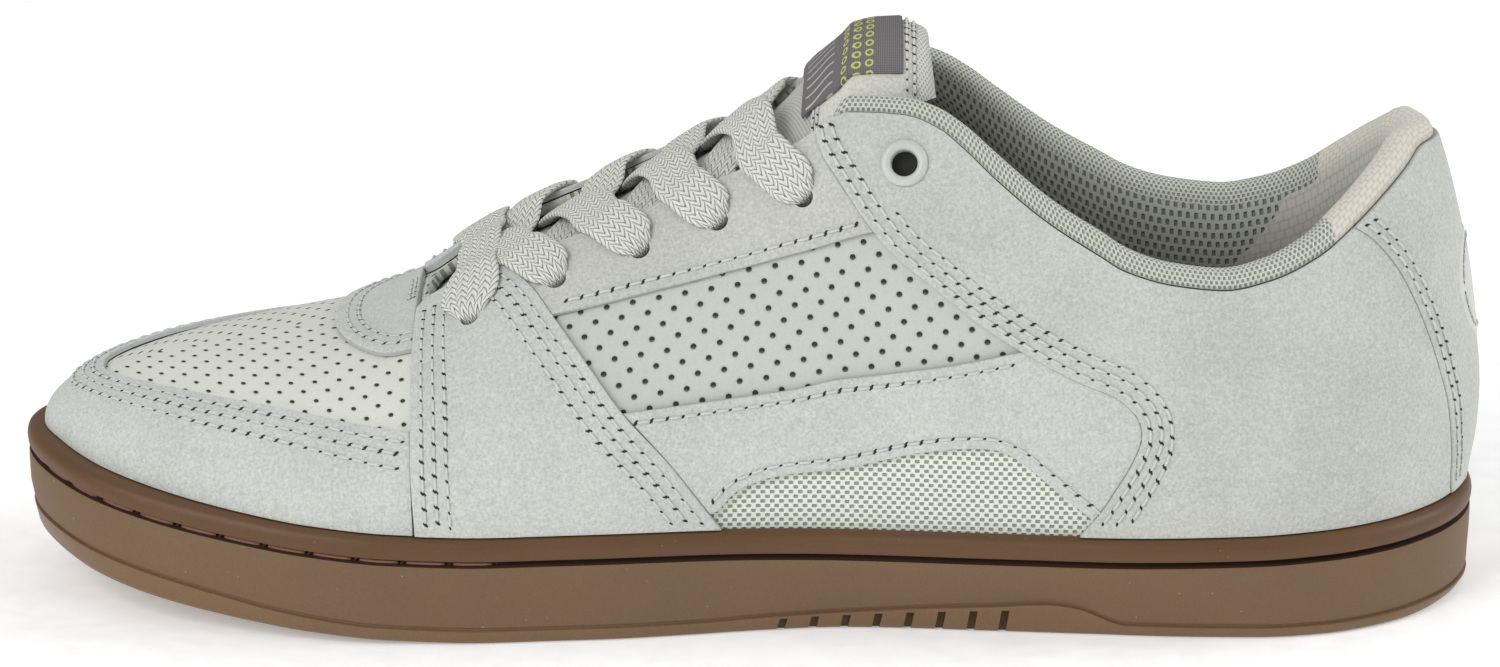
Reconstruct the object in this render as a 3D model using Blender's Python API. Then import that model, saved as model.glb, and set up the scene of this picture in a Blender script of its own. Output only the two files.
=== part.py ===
"""Low skateboarding shoe for the right foot, empty, standing on its cupsole.

Frame: metres, +Z up, toe towards -X, heel towards +X, medial side towards -Y.
The last is a map from a share of the length (0 heel, 1 toe) and a share of
the girth (-1 medial featherline, 0 ridge, 1 lateral featherline) to space.
"""
import math

import bmesh
import bpy
import numpy as np

# Driving sizes of the last and the sole, in metres.
LENGTH = 0.300
BALL_WIDTH = 0.105
SOLE_HEIGHT = 0.0225
FLOOR_HEIGHT = 0.0120
TOE_SPRING = 0.0108
SPRING_LENGTH = 0.100
SPRING_POWER = 1.8
SEAM_GAP = 0.0003
UPPER_INSET = 0.0022
TOE_INSET = 0.0013
RIDGE_HEIGHT = 0.130
HEEL_LEAN = 0.0082
LEAN_REACH = 0.075
LEAN_FADE = 0.060
RIDGE_PULL = 0.6
RIDGE_STRAIGHT = 0.020

# Thickness of the layers of the upper.
OVERLAY_WALL = 0.0011
OVERLAY_GAP = 0.0004
BASE_WALL = 0.0020

# Resolution of the last.
STATIONS = 29
GIRTH_STEPS = 8
SECTION_SAMPLES = 160

# Sole outline: share of length from the heel, medial and lateral shares of
# half the ball width.
PLAN = (
    (0.000, -0.030, -0.030),
    (0.010, -0.310, 0.255),
    (0.030, -0.500, 0.450),
    (0.060, -0.670, 0.595),
    (0.100, -0.800, 0.680),
    (0.150, -0.882, 0.705),
    (0.225, -0.918, 0.716),
    (0.320, -0.891, 0.762),
    (0.430, -0.846, 0.827),
    (0.520, -0.863, 0.907),
    (0.620, -0.939, 0.979),
    (0.700, -0.989, 1.000),
    (0.745, -1.000, 0.990),
    (0.800, -0.971, 0.935),
    (0.850, -0.900, 0.835),
    (0.900, -0.800, 0.690),
    (0.950, -0.629, 0.475),
    (0.980, -0.429, 0.255),
    (1.000, -0.090, -0.090),
)

# Ridge of the last: share of length, height as a share of RIDGE_HEIGHT, and
# the power of the section's curve.
RIDGE = (
    (0.000, 0.923, 2.00),
    (0.200, 0.923, 2.00),
    (0.333, 0.935, 2.00),
    (0.393, 0.952, 2.00),
    (0.432, 0.946, 2.05),
    (0.466, 0.865, 2.10),
    (0.500, 0.785, 2.15),
    (0.524, 0.742, 2.20),
    (0.563, 0.692, 2.20),
    (0.604, 0.640, 2.25),
    (0.640, 0.600, 2.30),
    (0.665, 0.572, 2.30),
    (0.691, 0.535, 2.30),
    (0.718, 0.490, 2.30),
    (0.743, 0.455, 2.35),
    (0.780, 0.430, 2.35),
    (0.846, 0.405, 2.30),
    (0.900, 0.384, 2.25),
    (0.940, 0.362, 2.20),
    (0.970, 0.338, 2.10),
    (0.985, 0.314, 2.10),
    (1.000, 0.260, 2.10),
)

# Back of the heel: height in shares of RIDGE_HEIGHT, forward lean as a share
# of HEEL_LEAN.
BACK = (
    (0.150, 0.00),
    (0.200, -0.10),
    (0.254, -0.25),
    (0.330, -0.31),
    (0.400, -0.22),
    (0.530, 0.03),
    (0.640, 0.40),
    (0.710, 0.70),
    (0.765, 1.00),
    (1.000, 2.60),
)


def column(table, index):
    """Return one column of a table as an array."""
    return np.array([row[index] for row in table], dtype=float)


def smooth(xs, ys, at):
    """Interpolate a short table with limited cubic slopes."""
    at = np.asarray(at, dtype=float)
    gaps = np.diff(xs)
    rates = np.diff(ys) / gaps
    slopes = np.zeros(len(xs))
    for i in range(1, len(xs) - 1):
        if rates[i - 1] * rates[i] > 0.0:
            near = 2.0 * gaps[i] + gaps[i - 1]
            far = gaps[i] + 2.0 * gaps[i - 1]
            slopes[i] = (near + far) / (near / rates[i - 1] + far / rates[i])
    slopes[0] = rates[0]
    slopes[-1] = rates[-1]
    cell = np.clip(np.searchsorted(xs, at) - 1, 0, len(xs) - 2)
    t = (at - xs[cell]) / gaps[cell]
    rise = ys[cell] * (1.0 + 2.0 * t) * (1.0 - t) ** 2
    rise = rise + ys[cell + 1] * t * t * (3.0 - 2.0 * t)
    rise = rise + slopes[cell] * gaps[cell] * t * (1.0 - t) ** 2
    return rise + slopes[cell + 1] * gaps[cell] * t * t * (t - 1.0)


def spring(along):
    """Height of the sole's underside at a distance from the heel."""
    ahead = np.clip((along - (LENGTH - SPRING_LENGTH)) / SPRING_LENGTH, 0.0, 1.0)
    return TOE_SPRING * ahead ** SPRING_POWER


def outline(share):
    """Return centre and half width of the sole's widest line."""
    shares = column(PLAN, 0)
    medial = column(PLAN, 1) * BALL_WIDTH / 2.0
    lateral = column(PLAN, 2) * BALL_WIDTH / 2.0
    centre = smooth(shares, (medial + lateral) / 2.0, share)
    squared = smooth(shares, ((lateral - medial) / 2.0) ** 2, share)
    return centre, np.sqrt(np.maximum(squared, 0.0))


def inset_at(share):
    """How far the upper stands inside the sole's widest line."""
    ahead = np.clip((share - 0.80) / 0.15, 0.0, 1.0)
    return UPPER_INSET + TOE_INSET * ahead * ahead * (3.0 - 2.0 * ahead)


def shrunk(share, inset):
    """Return distance from the heel, centre and half width of an inset outline."""
    along = inset + share * (LENGTH - 2.0 * inset)
    centre, half = outline(share)
    pull = inset * np.minimum(1.0, half / (4.0 * inset + 1e-9))
    return along, centre, np.maximum(half - pull, 0.0)


def section(share, girths):
    """Points of one section of the last's outer face at signed girth shares."""
    along, centre, half = shrunk(share, inset_at(share))
    foot = SOLE_HEIGHT + SEAM_GAP + spring(along)
    feet = SOLE_HEIGHT + SEAM_GAP + spring(column(RIDGE, 0) * LENGTH)
    squares = np.maximum(column(RIDGE, 1) * RIDGE_HEIGHT - feet, 0.0) ** 2
    rise = math.sqrt(max(float(smooth(column(RIDGE, 0), squares, share)), 1e-10))
    power = 2.0 / float(smooth(column(RIDGE, 0), column(RIDGE, 2), share))
    narrow = 1.0 - min(float(half) / RIDGE_STRAIGHT, 1.0)
    middle = centre * (RIDGE_PULL + (1.0 - RIDGE_PULL) * narrow * narrow)
    turn = np.linspace(0.0, math.pi / 2.0, SECTION_SAMPLES)
    out = np.maximum(np.cos(turn), 0.0) ** power
    out[-1] = 0.0
    up = np.sin(turn) ** power
    points = np.zeros((len(girths), 3))
    for side in (-1.0, 1.0):
        y = middle * (1.0 - out) + (centre + side * half) * out
        z = foot + rise * up
        steps = np.concatenate(([0.0], np.cumsum(np.hypot(np.diff(y), np.diff(z)))))
        for k, girth in enumerate(girths):
            if girth * side < 0.0 or (girth == 0.0 and side > 0.0):
                continue
            reach = max(1.0 - abs(girth), 0.0) * steps[-1]
            points[k, 1] = np.interp(reach, steps, y)
            points[k, 2] = np.interp(reach, steps, z)
    fade = min(max((LEAN_REACH - along) / LEAN_FADE, 0.0), 1.0)
    fade = fade * fade * (3.0 - 2.0 * fade)
    heights = column(BACK, 0) * RIDGE_HEIGHT
    leans = column(BACK, 1) * HEEL_LEAN
    points[:, 0] = LENGTH / 2.0 - along - fade * smooth(heights, leans, points[:, 2])
    return points


# Top edge of the upper: share of length, share of girth up from the featherline.
TOPLINE = (
    (0.000, 0.752),
    (0.010, 0.734),
    (0.022, 0.692),
    (0.038, 0.644),
    (0.066, 0.574),
    (0.100, 0.508),
    (0.136, 0.467),
    (0.169, 0.450),
    (0.203, 0.458),
    (0.239, 0.483),
    (0.256, 0.508),
    (0.294, 0.567),
    (0.327, 0.633),
    (0.349, 0.683),
    (0.368, 0.717),
    (0.391, 0.735),
    (0.426, 0.740),
    (0.453, 0.742),
    (0.469, 0.748),
    (0.520, 0.775),
    (0.574, 0.780),
    (0.632, 0.780),
    (0.669, 0.798),
    (0.682, 0.806),
    (0.706, 0.825),
    (0.721, 0.855),
    (0.728, 0.910),
    (0.730, 1.000),
)

# Pattern edges on one side: share of length, share of girth.
FORE_FRONT = (
    (0.727, 0.000),
    (0.730, 0.180),
    (0.731, 0.342),
    (0.732, 0.605),
    (0.731, 0.800),
)
FORE_REAR = (
    (0.682, 0.806),
    (0.672, 0.778),
    (0.664, 0.735),
    (0.650, 0.655),
    (0.634, 0.550),
    (0.610, 0.415),
    (0.584, 0.281),
    (0.551, 0.150),
    (0.528, 0.050),
    (0.516, 0.000),
)
TOE_EDGE = (
    (0.731, 0.305),
    (0.770, 0.345),
    (0.810, 0.392),
    (0.850, 0.440),
    (0.883, 0.490),
    (0.912, 0.560),
    (0.937, 0.660),
    (0.951, 0.770),
    (0.957, 0.880),
    (0.958, 1.000),
)
MOON_EDGE = (
    (0.732, 0.605),
    (0.751, 0.622),
    (0.768, 0.680),
    (0.781, 0.765),
    (0.789, 0.880),
    (0.791, 1.000),
)
EYESTAY_LOW = (
    (0.634, 0.550),
    (0.601, 0.552),
    (0.555, 0.554),
    (0.512, 0.552),
    (0.469, 0.533),
    (0.440, 0.516),
    (0.412, 0.530),
)
BAND_TOP = (
    (0.584, 0.281),
    (0.512, 0.281),
    (0.445, 0.270),
    (0.379, 0.290),
    (0.309, 0.333),
)
WINDOW = (
    (0.276, 0.060),
    (0.284, 0.078),
    (0.309, 0.120),
    (0.323, 0.150),
    (0.345, 0.154),
    (0.379, 0.142),
    (0.433, 0.110),
    (0.488, 0.100),
    (0.504, 0.083),
    (0.515, 0.050),
)
QUARTER_FRONT = (
    (0.453, 0.742),
    (0.449, 0.692),
    (0.433, 0.608),
    (0.412, 0.530),
    (0.399, 0.492),
    (0.368, 0.433),
    (0.338, 0.378),
    (0.309, 0.333),
    (0.270, 0.283),
    (0.240, 0.250),
    (0.228, 0.215),
    (0.226, 0.188),
    (0.232, 0.140),
    (0.243, 0.090),
    (0.250, 0.060),
    (0.268, 0.000),
)
COUNTER_FRONT = (
    (0.012, 0.000),
    (0.018, 0.108),
    (0.023, 0.217),
    (0.031, 0.342),
    (0.038, 0.417),
    (0.048, 0.495),
    (0.060, 0.545),
    (0.070, 0.565),
)
# Rows of those edges where the eyestay and the midfoot band meet them.
FORE_AT_STAY = 4
QUARTER_AT_STAY = 3
FORE_AT_BAND = 7
QUARTER_AT_BAND = 7
MOON_BACK = (0.7315, 0.15)
TIP_SHARE = 0.7205
FEATHER_SHARE = 0.727
MITER_LIMIT = 2.5
PATCH_HALF = 0.060
PATCH_MIDDLE = 0.430
PATCH_RISE = 0.120
PATCH_SIDES = 12
PATCH_WALL = 0.0007

# Holes for the lace and the sixth, empty, eyelet: share of length, girth.
EYELETS = (
    (0.691, 0.616),
    (0.632, 0.648),
    (0.574, 0.664),
    (0.520, 0.671),
    (0.461, 0.630),
)
EYELET_RADIUS = 0.0022
GROMMET_SPOT = (0.391, 0.650)
GROMMET_HOLE = 0.0034
GROMMET_BORE = 0.0027
GROMMET_RIM = 0.0048
GROMMET_LIP = 0.0011
GROMMET_DEPTH = 0.0034
GROMMET_STAND = 0.0005
DRILL_DEPTH = 0.0080
DRILL_RISE = 0.0040
HOLE_SIDES = 8

# Padded collar: rise over the topline, depth under the outer face, both as
# shares of COLLAR_ROLL.
COLLAR_ROLL = 0.0052
COLLAR_FREE = 0.0039
COLLAR_TABLE = (
    (0.06, 0.10),
    (0.45, 0.04),
    (0.82, 0.20),
    (1.00, 0.58),
    (0.95, 1.08),
    (0.60, 1.50),
    (-0.20, 1.80),
    (-1.60, 1.88),
    (-3.00, 1.60),
    (-3.80, 1.10),
    (-4.00, 0.76),
    (-2.00, 0.76),
    (0.06, 0.76),
)
COLLAR_END = 0.453
COLLAR_FADE = 0.130
COLLAR_THIN = 0.14
COLLAR_SHORT = 0.38

# Tongue: share of length, reach of its half width as a share of girth, depth
# of its middle and of its edges under the last's face in shares of
# TONGUE_DEPTH.
TONGUE_DEPTH = 0.0050
TONGUE_WALL = 0.0060
TONGUE_RIM = 0.0022
TONGUE_COLUMNS = 8
TONGUE = (
    (0.752, 0.300, 1.10, 1.10),
    (0.735, 0.330, 1.16, 1.12),
    (0.712, 0.360, 1.20, 1.12),
    (0.690, 0.380, 1.22, 1.12),
    (0.660, 0.390, 1.22, 1.12),
    (0.630, 0.390, 1.20, 1.12),
    (0.595, 0.390, 1.20, 1.12),
    (0.560, 0.380, 1.20, 1.14),
    (0.524, 0.360, 1.22, 1.16),
    (0.495, 0.340, 1.22, 1.20),
    (0.466, 0.310, 1.12, 1.25),
    (0.448, 0.290, 1.40, 1.40),
    (0.431, 0.270, 1.38, 1.50),
    (0.414, 0.250, 1.20, 1.62),
    (0.398, 0.232, 1.16, 1.76),
    (0.386, 0.222, 1.06, 1.86),
    (0.374, 0.210, 1.16, 2.00),
    (0.366, 0.196, 1.60, 2.30),
)
LABEL_ROWS = (10, 14)
LABEL_COLUMNS = (2, 6)
LABEL_WALL = 0.0008

# Laces. A crossing's rows: place between the lower and the upper hole, signed
# girth towards its own side, lift in shares of LACE_THICK for the strand
# below and for the one on top.
LACE_HALF = 0.0046
LACE_THICK = 0.0014
LACE_SIDES = 6
BAR_ARCH = 0.0022
BAR_LEAN = -0.004
LACE_NARROW = 0.62
CROSSING = (
    (-0.20, -0.150, -3.25, -3.25),
    (-0.10, -0.085, -2.95, -2.85),
    (0.15, 0.015, -2.90, -1.00),
    (0.34, 0.100, -2.40, -0.65),
)
# Last rows of a lace: place past the throat's edge towards the hole, shift
# towards the lower hole, both as shares, and lift in shares of LACE_THICK.
LACE_END = (
    (-0.25, 0.49, 1.20),
    (-0.02, 0.39, 1.90),
    (0.30, 0.27, 1.50),
    (0.60, 0.12, 1.25),
    (0.84, 0.04, 1.25),
)

# Sole: rows of the side wall from the ground up, as height share, inset share
# of GROOVE_DEPTH, undercut share and bevel share. The height -1 is the step.
GROOVE_DEPTH = 0.0016
UNDERCUT = 0.0055
BEVEL = 0.0032
BEVEL_TOE = 0.10
BEVEL_HEEL = 0.04
WALL_ROWS = (
    (0.000, 1.00, 1.00, 1.00),
    (0.045, 0.40, 1.00, 0.60),
    (-1.00, 0.25, 0.85, 0.20),
    (-1.03, 0.62, 0.82, 0.18),
    (0.450, 0.30, 0.40, 0.00),
    (0.740, 0.15, 0.00, 0.00),
    (0.757, 0.95, 0.00, 0.00),
    (0.785, 0.95, 0.00, 0.00),
    (0.802, 0.10, 0.00, 0.00),
    (0.885, 0.00, 0.00, 0.00),
    (0.968, 0.35, 0.00, 0.00),
    (1.000, 1.05, 0.00, 0.00),
)
# Step over the outsole's band and undercut of the arch: share of length,
# medial and lateral step heights, medial and lateral undercut shares.
ARCH = (
    (0.000, 0.130, 0.130, 0.00, 0.00),
    (0.100, 0.110, 0.110, 0.20, 0.10),
    (0.170, 0.115, 0.115, 0.60, 0.25),
    (0.241, 0.125, 0.120, 0.95, 0.40),
    (0.257, 0.200, 0.120, 1.00, 0.42),
    (0.268, 0.260, 0.120, 1.00, 0.44),
    (0.292, 0.300, 0.120, 1.00, 0.45),
    (0.323, 0.270, 0.120, 1.00, 0.45),
    (0.371, 0.230, 0.120, 1.00, 0.45),
    (0.438, 0.170, 0.120, 0.85, 0.38),
    (0.486, 0.145, 0.120, 0.50, 0.22),
    (0.540, 0.125, 0.120, 0.15, 0.05),
    (0.600, 0.125, 0.125, 0.00, 0.00),
    (0.755, 0.135, 0.135, 0.00, 0.00),
    (0.820, 0.170, 0.170, 0.00, 0.00),
    (0.886, 0.220, 0.220, 0.00, 0.00),
    (1.000, 0.250, 0.250, 0.00, 0.00),
)
SLOT_COUNT = 8
SLOT_FIRST = 0.325
SLOT_PITCH = 0.0065
SLOT_WIDTH = 0.0016
SLOT_DEPTH = 0.0026
SLOT_SLANT = 0.0010
SLOT_RISE = 0.86
CUT_PAST = 0.0040
GROOVE_WIDTH = 0.0026
TREAD_DEPTH = 0.0018
TREAD_EDGE = 0.0120
TREADS = (
    (0.100, 0.014, 4),
    (0.560, 0.014, 8),
)
INSOLE_WALL = 0.0045

SHARES = (1.0 - np.cos(np.linspace(0.0, math.pi, STATIONS + 1))) / 2.0
HALF_GIRTHS = np.linspace(1.0, 0.0, GIRTH_STEPS + 1)
SKIRT = 0.1
GIRTHS = np.concatenate((HALF_GIRTHS * -1.0, HALF_GIRTHS[-2::-1]))
LINES = np.concatenate(([-1.0 - SKIRT], GIRTHS, [1.0 + SKIRT]))


def turn_of(share):
    """Turn a share of the length into the even station coordinate."""
    return math.acos(1.0 - 2.0 * min(max(share, 0.0), 1.0)) / math.pi


def build_last():
    """Points and outward normals of the last on its grid, skirt included."""
    nudge = 1e-4
    count = STATIONS + 1
    points = np.zeros((count, len(LINES), 3))
    normals = np.zeros((count, len(LINES), 3))
    for i in range(count):
        turn = i / STATIONS
        here = section(float(SHARES[i]), GIRTHS)
        low = section((1.0 - math.cos(math.pi * abs(turn - nudge))) / 2.0, GIRTHS)
        high = section((1.0 - math.cos(math.pi * min(turn + nudge, 1.0))) / 2.0, GIRTHS)
        if i == 0:
            low = high[::-1]
        ahead = high - low
        if i == STATIONS:
            here[:] = here[0]
        across = np.gradient(here, axis=0)
        half = GIRTH_STEPS
        across[half] = here[half + 1] - here[half - 1]
        across[0] = np.array([0.0, 0.0, 1.0])
        across[-1] = np.array([0.0, 0.0, -1.0])
        if i == STATIONS:
            normal = np.tile(np.array([-1.0, 0.0, 0.0]), (len(GIRTHS), 1))
        else:
            normal = np.cross(across, ahead)
        if i == 0:
            normal[GIRTHS > 0.0] = normal[GIRTHS < 0.0][::-1]
            normal[:, 1] = 0.0
            normal[half] = np.array([0.5, 0.0, 1.0])
        sizes = np.linalg.norm(normal, axis=1)
        normal = normal / np.maximum(sizes, 1e-12)[:, None]
        if i == 0:
            normal = normal * np.sign(normal[:, 0])[:, None]
        elif i < STATIONS:
            middle = here.mean(axis=0)
            facing = np.sum(normal[:half] * (here[:half] - middle)) < 0.0
            if facing:
                normal = normal * -1.0
        points[i, 1:-1] = here
        normals[i, 1:-1] = normal
        for edge, inner in ((0, 1), (-1, -2)):
            points[i, edge] = points[i, inner]
            points[i, edge, 2] -= SOLE_HEIGHT - FLOOR_HEIGHT
            flat = normals[i, inner] * np.array([1.0, 1.0, 0.0])
            normals[i, inner] = flat / np.linalg.norm(flat)
            normals[i, edge] = normals[i, inner]
    return points, normals


LAST_POINTS, LAST_NORMALS = build_last()


def lay(turn, girth, lift):
    """Place a pattern point on the last at a lift from its outer face."""
    turn = abs(turn)
    i = min(int(turn * STATIONS), STATIONS - 1)
    j = int(np.clip(np.searchsorted(LINES, girth, side="right") - 1, 0, len(LINES) - 2))
    a = turn * STATIONS - i
    b = (girth - LINES[j]) / (LINES[j + 1] - LINES[j])
    place = np.zeros(3)
    for di, wa in ((0, 1.0 - a), (1, a)):
        for dj, wb in ((0, 1.0 - b), (1, b)):
            corner = LAST_POINTS[i + di, j + dj] + lift * LAST_NORMALS[i + di, j + dj]
            place = place + wa * wb * corner
    return place


def scales(turn, girth):
    """Lengths of one unit of turn and of girth at a pattern point."""
    step = 0.01
    here = lay(turn, girth, 0.0)
    other = abs(turn) + step if abs(turn) + step <= 1.0 else abs(turn) - step
    near = girth * (1.0 - step) if abs(girth) > step else girth + step
    along = np.linalg.norm(lay(other, girth, 0.0) - here) / step
    across = np.linalg.norm(lay(turn, near, 0.0) - here) / max(abs(near - girth), 1e-9)
    return max(along, 0.02), max(across, 0.01)


def inset_pattern(rim, gap):
    """Draw a closed pattern in by a gap measured on the last."""
    area = 0.0
    for k, (x, y) in enumerate(rim):
        after = rim[(k + 1) % len(rim)]
        area += x * after[1] - after[0] * y
    sign = 1.0 if area > 0.0 else -1.0
    moved = []
    for k, (x, y) in enumerate(rim):
        sx, sy = scales(x, min(max(y, -0.999), 0.999))
        before = rim[k - 1]
        after = rim[(k + 1) % len(rim)]
        one = np.array([(x - before[0]) * sx, (y - before[1]) * sy])
        two = np.array([(after[0] - x) * sx, (after[1] - y) * sy])
        one = one / np.linalg.norm(one)
        two = two / np.linalg.norm(two)
        bend = np.array([-one[1] - two[1], one[0] + two[0]]) * sign
        size = np.linalg.norm(bend)
        bend = bend / size
        straight = np.array([-one[1], one[0]]) * sign
        reach = gap / max(float(np.dot(bend, straight)), 1.0 / MITER_LIMIT)
        moved.append((x + bend[0] * reach / sx, y + bend[1] * reach / sy))
    return moved


def make_object(name, mesh_bm, material):
    """Store a closed bmesh as a named object."""
    bmesh.ops.remove_doubles(mesh_bm, verts=mesh_bm.verts, dist=2e-6)
    bmesh.ops.dissolve_degenerate(mesh_bm, dist=1e-7, edges=mesh_bm.edges)
    bmesh.ops.triangulate(mesh_bm, faces=mesh_bm.faces)
    bmesh.ops.recalc_face_normals(mesh_bm, faces=mesh_bm.faces)
    mesh = bpy.data.meshes.new(name)
    mesh_bm.to_mesh(mesh)
    mesh_bm.free()
    mesh.materials.append(material)
    made = bpy.data.objects.new(name, mesh)
    bpy.context.scene.collection.objects.link(made)
    return made


def shell(name, rim, outer, inner, material, around_heel=False):
    """Cut a flat pattern along the last's lines and give it a wall.

    Args:
        name: Name of the node.
        rim: Closed pattern of turn and girth coordinates. Around the heel the
            turn is negative on the lateral side and the second value is the
            share of the girth up from the featherline.
        outer: Lift of the outer face.
        inner: Lift of the inner face.
        material: Material of the node.
        around_heel: Whether the pattern crosses the back of the heel.

    Returns:
        The new object.
    """
    flat = bmesh.new()
    corners = [flat.verts.new((x, y, 0.0)) for x, y in rim]
    flat.faces.new(corners)
    cuts = [(k / STATIONS, 0) for k in range(1 - STATIONS, STATIONS)]
    if around_heel:
        cuts += [(line, 1) for line in HALF_GIRTHS]
    else:
        cuts += [(line, 1) for line in LINES]
    for place, axis in cuts:
        spot = (place, 0.0, 0.0) if axis == 0 else (0.0, place, 0.0)
        facing = (1.0, 0.0, 0.0) if axis == 0 else (0.0, 1.0, 0.0)
        everything = flat.verts[:] + flat.edges[:] + flat.faces[:]
        bmesh.ops.bisect_plane(flat, geom=everything, dist=1e-6, plane_co=spot, plane_no=facing)
    many = [face for face in flat.faces if len(face.verts) > 4]
    bmesh.ops.triangulate(flat, faces=many)
    flat.verts.index_update()
    solid = bmesh.new()
    layers = ([], [])
    for vert in flat.verts:
        turn, girth = vert.co.x, vert.co.y
        if around_heel:
            girth = (girth - 1.0) * (1.0 if turn >= 0.0 else -1.0)
        for layer, lift in zip(layers, (outer, inner)):
            layer.append(solid.verts.new(lay(turn, girth, lift)))
    for face in flat.faces:
        around = [vert.index for vert in face.verts]
        solid.faces.new([layers[0][k] for k in around])
        solid.faces.new([layers[1][k] for k in reversed(around)])
    for edge in flat.edges:
        if len(edge.link_faces) != 1:
            continue
        one, two = edge.verts
        if one.co.x > 1.0 - 1e-5 and two.co.x > 1.0 - 1e-5:
            continue
        if not around_heel and one.co.x < 1e-5 and two.co.x < 1e-5:
            continue
        a, b = one.index, two.index
        solid.faces.new((layers[0][a], layers[0][b], layers[1][b], layers[1][a]))
    flat.free()
    return make_object(name, solid, material)


def tube(name, rings, material):
    """Close a row of rings, with a cap at each end, as one body."""
    solid = bmesh.new()
    rows = [[solid.verts.new(point) for point in ring] for ring in rings]
    count = len(rows[0])
    for low, high in zip(rows, rows[1:]):
        for k in range(count):
            after = (k + 1) % count
            solid.faces.new((low[k], low[after], high[after], high[k]))
    solid.faces.new(rows[0])
    solid.faces.new(rows[-1])
    return make_object(name, solid, material)


def cut(target, cutters):
    """Take joined cutters out of a solid."""
    tool = cutters[0]
    for extra in cutters[1:]:
        joined = bmesh.new()
        joined.from_mesh(tool.data)
        joined.from_mesh(extra.data)
        joined.to_mesh(tool.data)
        joined.free()
        bpy.data.objects.remove(extra)
    tool.hide_render = True
    tool.display_type = "WIRE"
    modifier = target.modifiers.new("cut", "BOOLEAN")
    modifier.operation = "DIFFERENCE"
    modifier.solver = "EXACT"
    modifier.object = tool
    return tool


def column_at(centre, axis, radius, low, high, name):
    """A straight round cutter along an axis through a point."""
    axis = axis / np.linalg.norm(axis)
    side = np.cross(axis, np.array([1.0, 0.0, 0.0]))
    side = side / np.linalg.norm(side)
    third = np.cross(axis, side)
    rings = []
    for reach in (low, high):
        ring = []
        for k in range(HOLE_SIDES):
            angle = 2.0 * math.pi * (k + 0.5) / HOLE_SIDES
            spoke = math.cos(angle) * side + math.sin(angle) * third
            ring.append(centre + reach * axis + radius * spoke)
        rings.append(ring)
    return tube(name, rings, PLAIN)


def finish(name, red, green, blue, roughness):
    """A plain material of one colour."""
    made = bpy.data.materials.new(name)
    made.use_nodes = True
    shader = made.node_tree.nodes["Principled BSDF"]
    shader.inputs["Base Color"].default_value = (red, green, blue, 1.0)
    shader.inputs["Roughness"].default_value = roughness
    made.diffuse_color = (red, green, blue, 1.0)
    return made


def edge_points(table, side, reverse=False):
    """Turn a one-sided edge table into pattern points on that side."""
    rows = [(turn_of(share), side * (1.0 - girth)) for share, girth in table]
    return rows[::-1] if reverse else rows


def top_rows(low, high):
    """Rows of the top edge between two shares, on the last's own stations."""
    shares = column(TOPLINE, 0)
    tops = column(TOPLINE, 1)
    rows = []
    for share in SHARES:
        if low < share < min(high, COLLAR_END - 0.001):
            rows.append((float(share), float(smooth(shares, tops, share))))
    rows += [row for row in TOPLINE if max(low, COLLAR_END - 0.001) < row[0] < high]
    return rows


def topline(side, low, high, reverse=False):
    """Pattern points of the top edge between two shares of the length."""
    return edge_points(top_rows(low, high), side, reverse)


for old in list(bpy.data.objects):
    bpy.data.objects.remove(old)

PLAIN = finish("plain", 0.5, 0.5, 0.5, 0.8)
LIFT_BASE = -OVERLAY_WALL - OVERLAY_GAP
LIFT_INNER = LIFT_BASE - BASE_WALL
HALF_GAP = SEAM_GAP * 0.6
COUNTER_GAP = SEAM_GAP * 0.72


def build_upper():
    """The hollow base of the upper, open below and at the collar and throat."""
    rim = [(0.0, -1.0 - SKIRT), (1.0, -1.0 - SKIRT), (1.0, 1.0 + SKIRT), (0.0, 1.0 + SKIRT)]
    rows = top_rows(-0.001, 1.0)
    rim += edge_points(rows, 1.0)
    rim += edge_points(rows[:-1], -1.0, True)
    colour = finish("upper_leather", 0.55, 0.56, 0.51, 0.85)
    return shell("upper", rim, LIFT_BASE, LIFT_INNER, colour)


def build_overlays():
    """The suede panels sewn over the base, in one layer."""
    made = []
    suede = finish("suede", 0.58, 0.60, 0.55, 0.9)
    start = turn_of(FEATHER_SHARE)
    toe = [(start, -1.0), (1.0, -1.0), (1.0, 1.0), (start, 1.0)]
    toe += edge_points(TOE_EDGE, 1.0)
    toe += edge_points(TOE_EDGE[:-1], -1.0, True)
    made.append(panel("toe_cap", toe, suede))
    moon = edge_points(MOON_EDGE, -1.0)
    moon += edge_points(MOON_EDGE[:-1], 1.0, True)
    moon += [(turn_of(MOON_BACK[0]), side * MOON_BACK[1]) for side in (1.0, -1.0)]
    made.append(panel("throat_piece", moon, suede))
    for side, word in ((-1.0, "medial"), (1.0, "lateral")):
        fore = edge_points(FORE_FRONT, side)
        fore += topline(side, FORE_REAR[0][0], TIP_SHARE, True)
        fore += edge_points(FORE_REAR, side)
        made.append(panel("forefoot_panel_" + word, fore, suede))
        stay = topline(side, COLLAR_END, FORE_REAR[0][0])
        stay += edge_points(FORE_REAR[:FORE_AT_STAY], side)
        stay += edge_points(EYESTAY_LOW, side)
        stay += edge_points(QUARTER_FRONT[:QUARTER_AT_STAY], side, True)
        made.append(panel("eyestay_" + word, stay, suede))
        band = edge_points(BAND_TOP[:-1], side)
        band += edge_points(QUARTER_FRONT[QUARTER_AT_BAND:-1], side)
        band += edge_points(WINDOW, side)
        band += edge_points(FORE_REAR[FORE_AT_BAND:-1], side, True)
        made.append(panel("midfoot_band_" + word, band, suede))
        quarter = edge_points(QUARTER_FRONT, side)
        quarter += edge_points(COUNTER_FRONT, side)
        quarter += topline(side, COUNTER_FRONT[-1][0], COLLAR_END)
        made.append(panel("quarter_" + word, quarter, suede))
    return made


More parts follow.
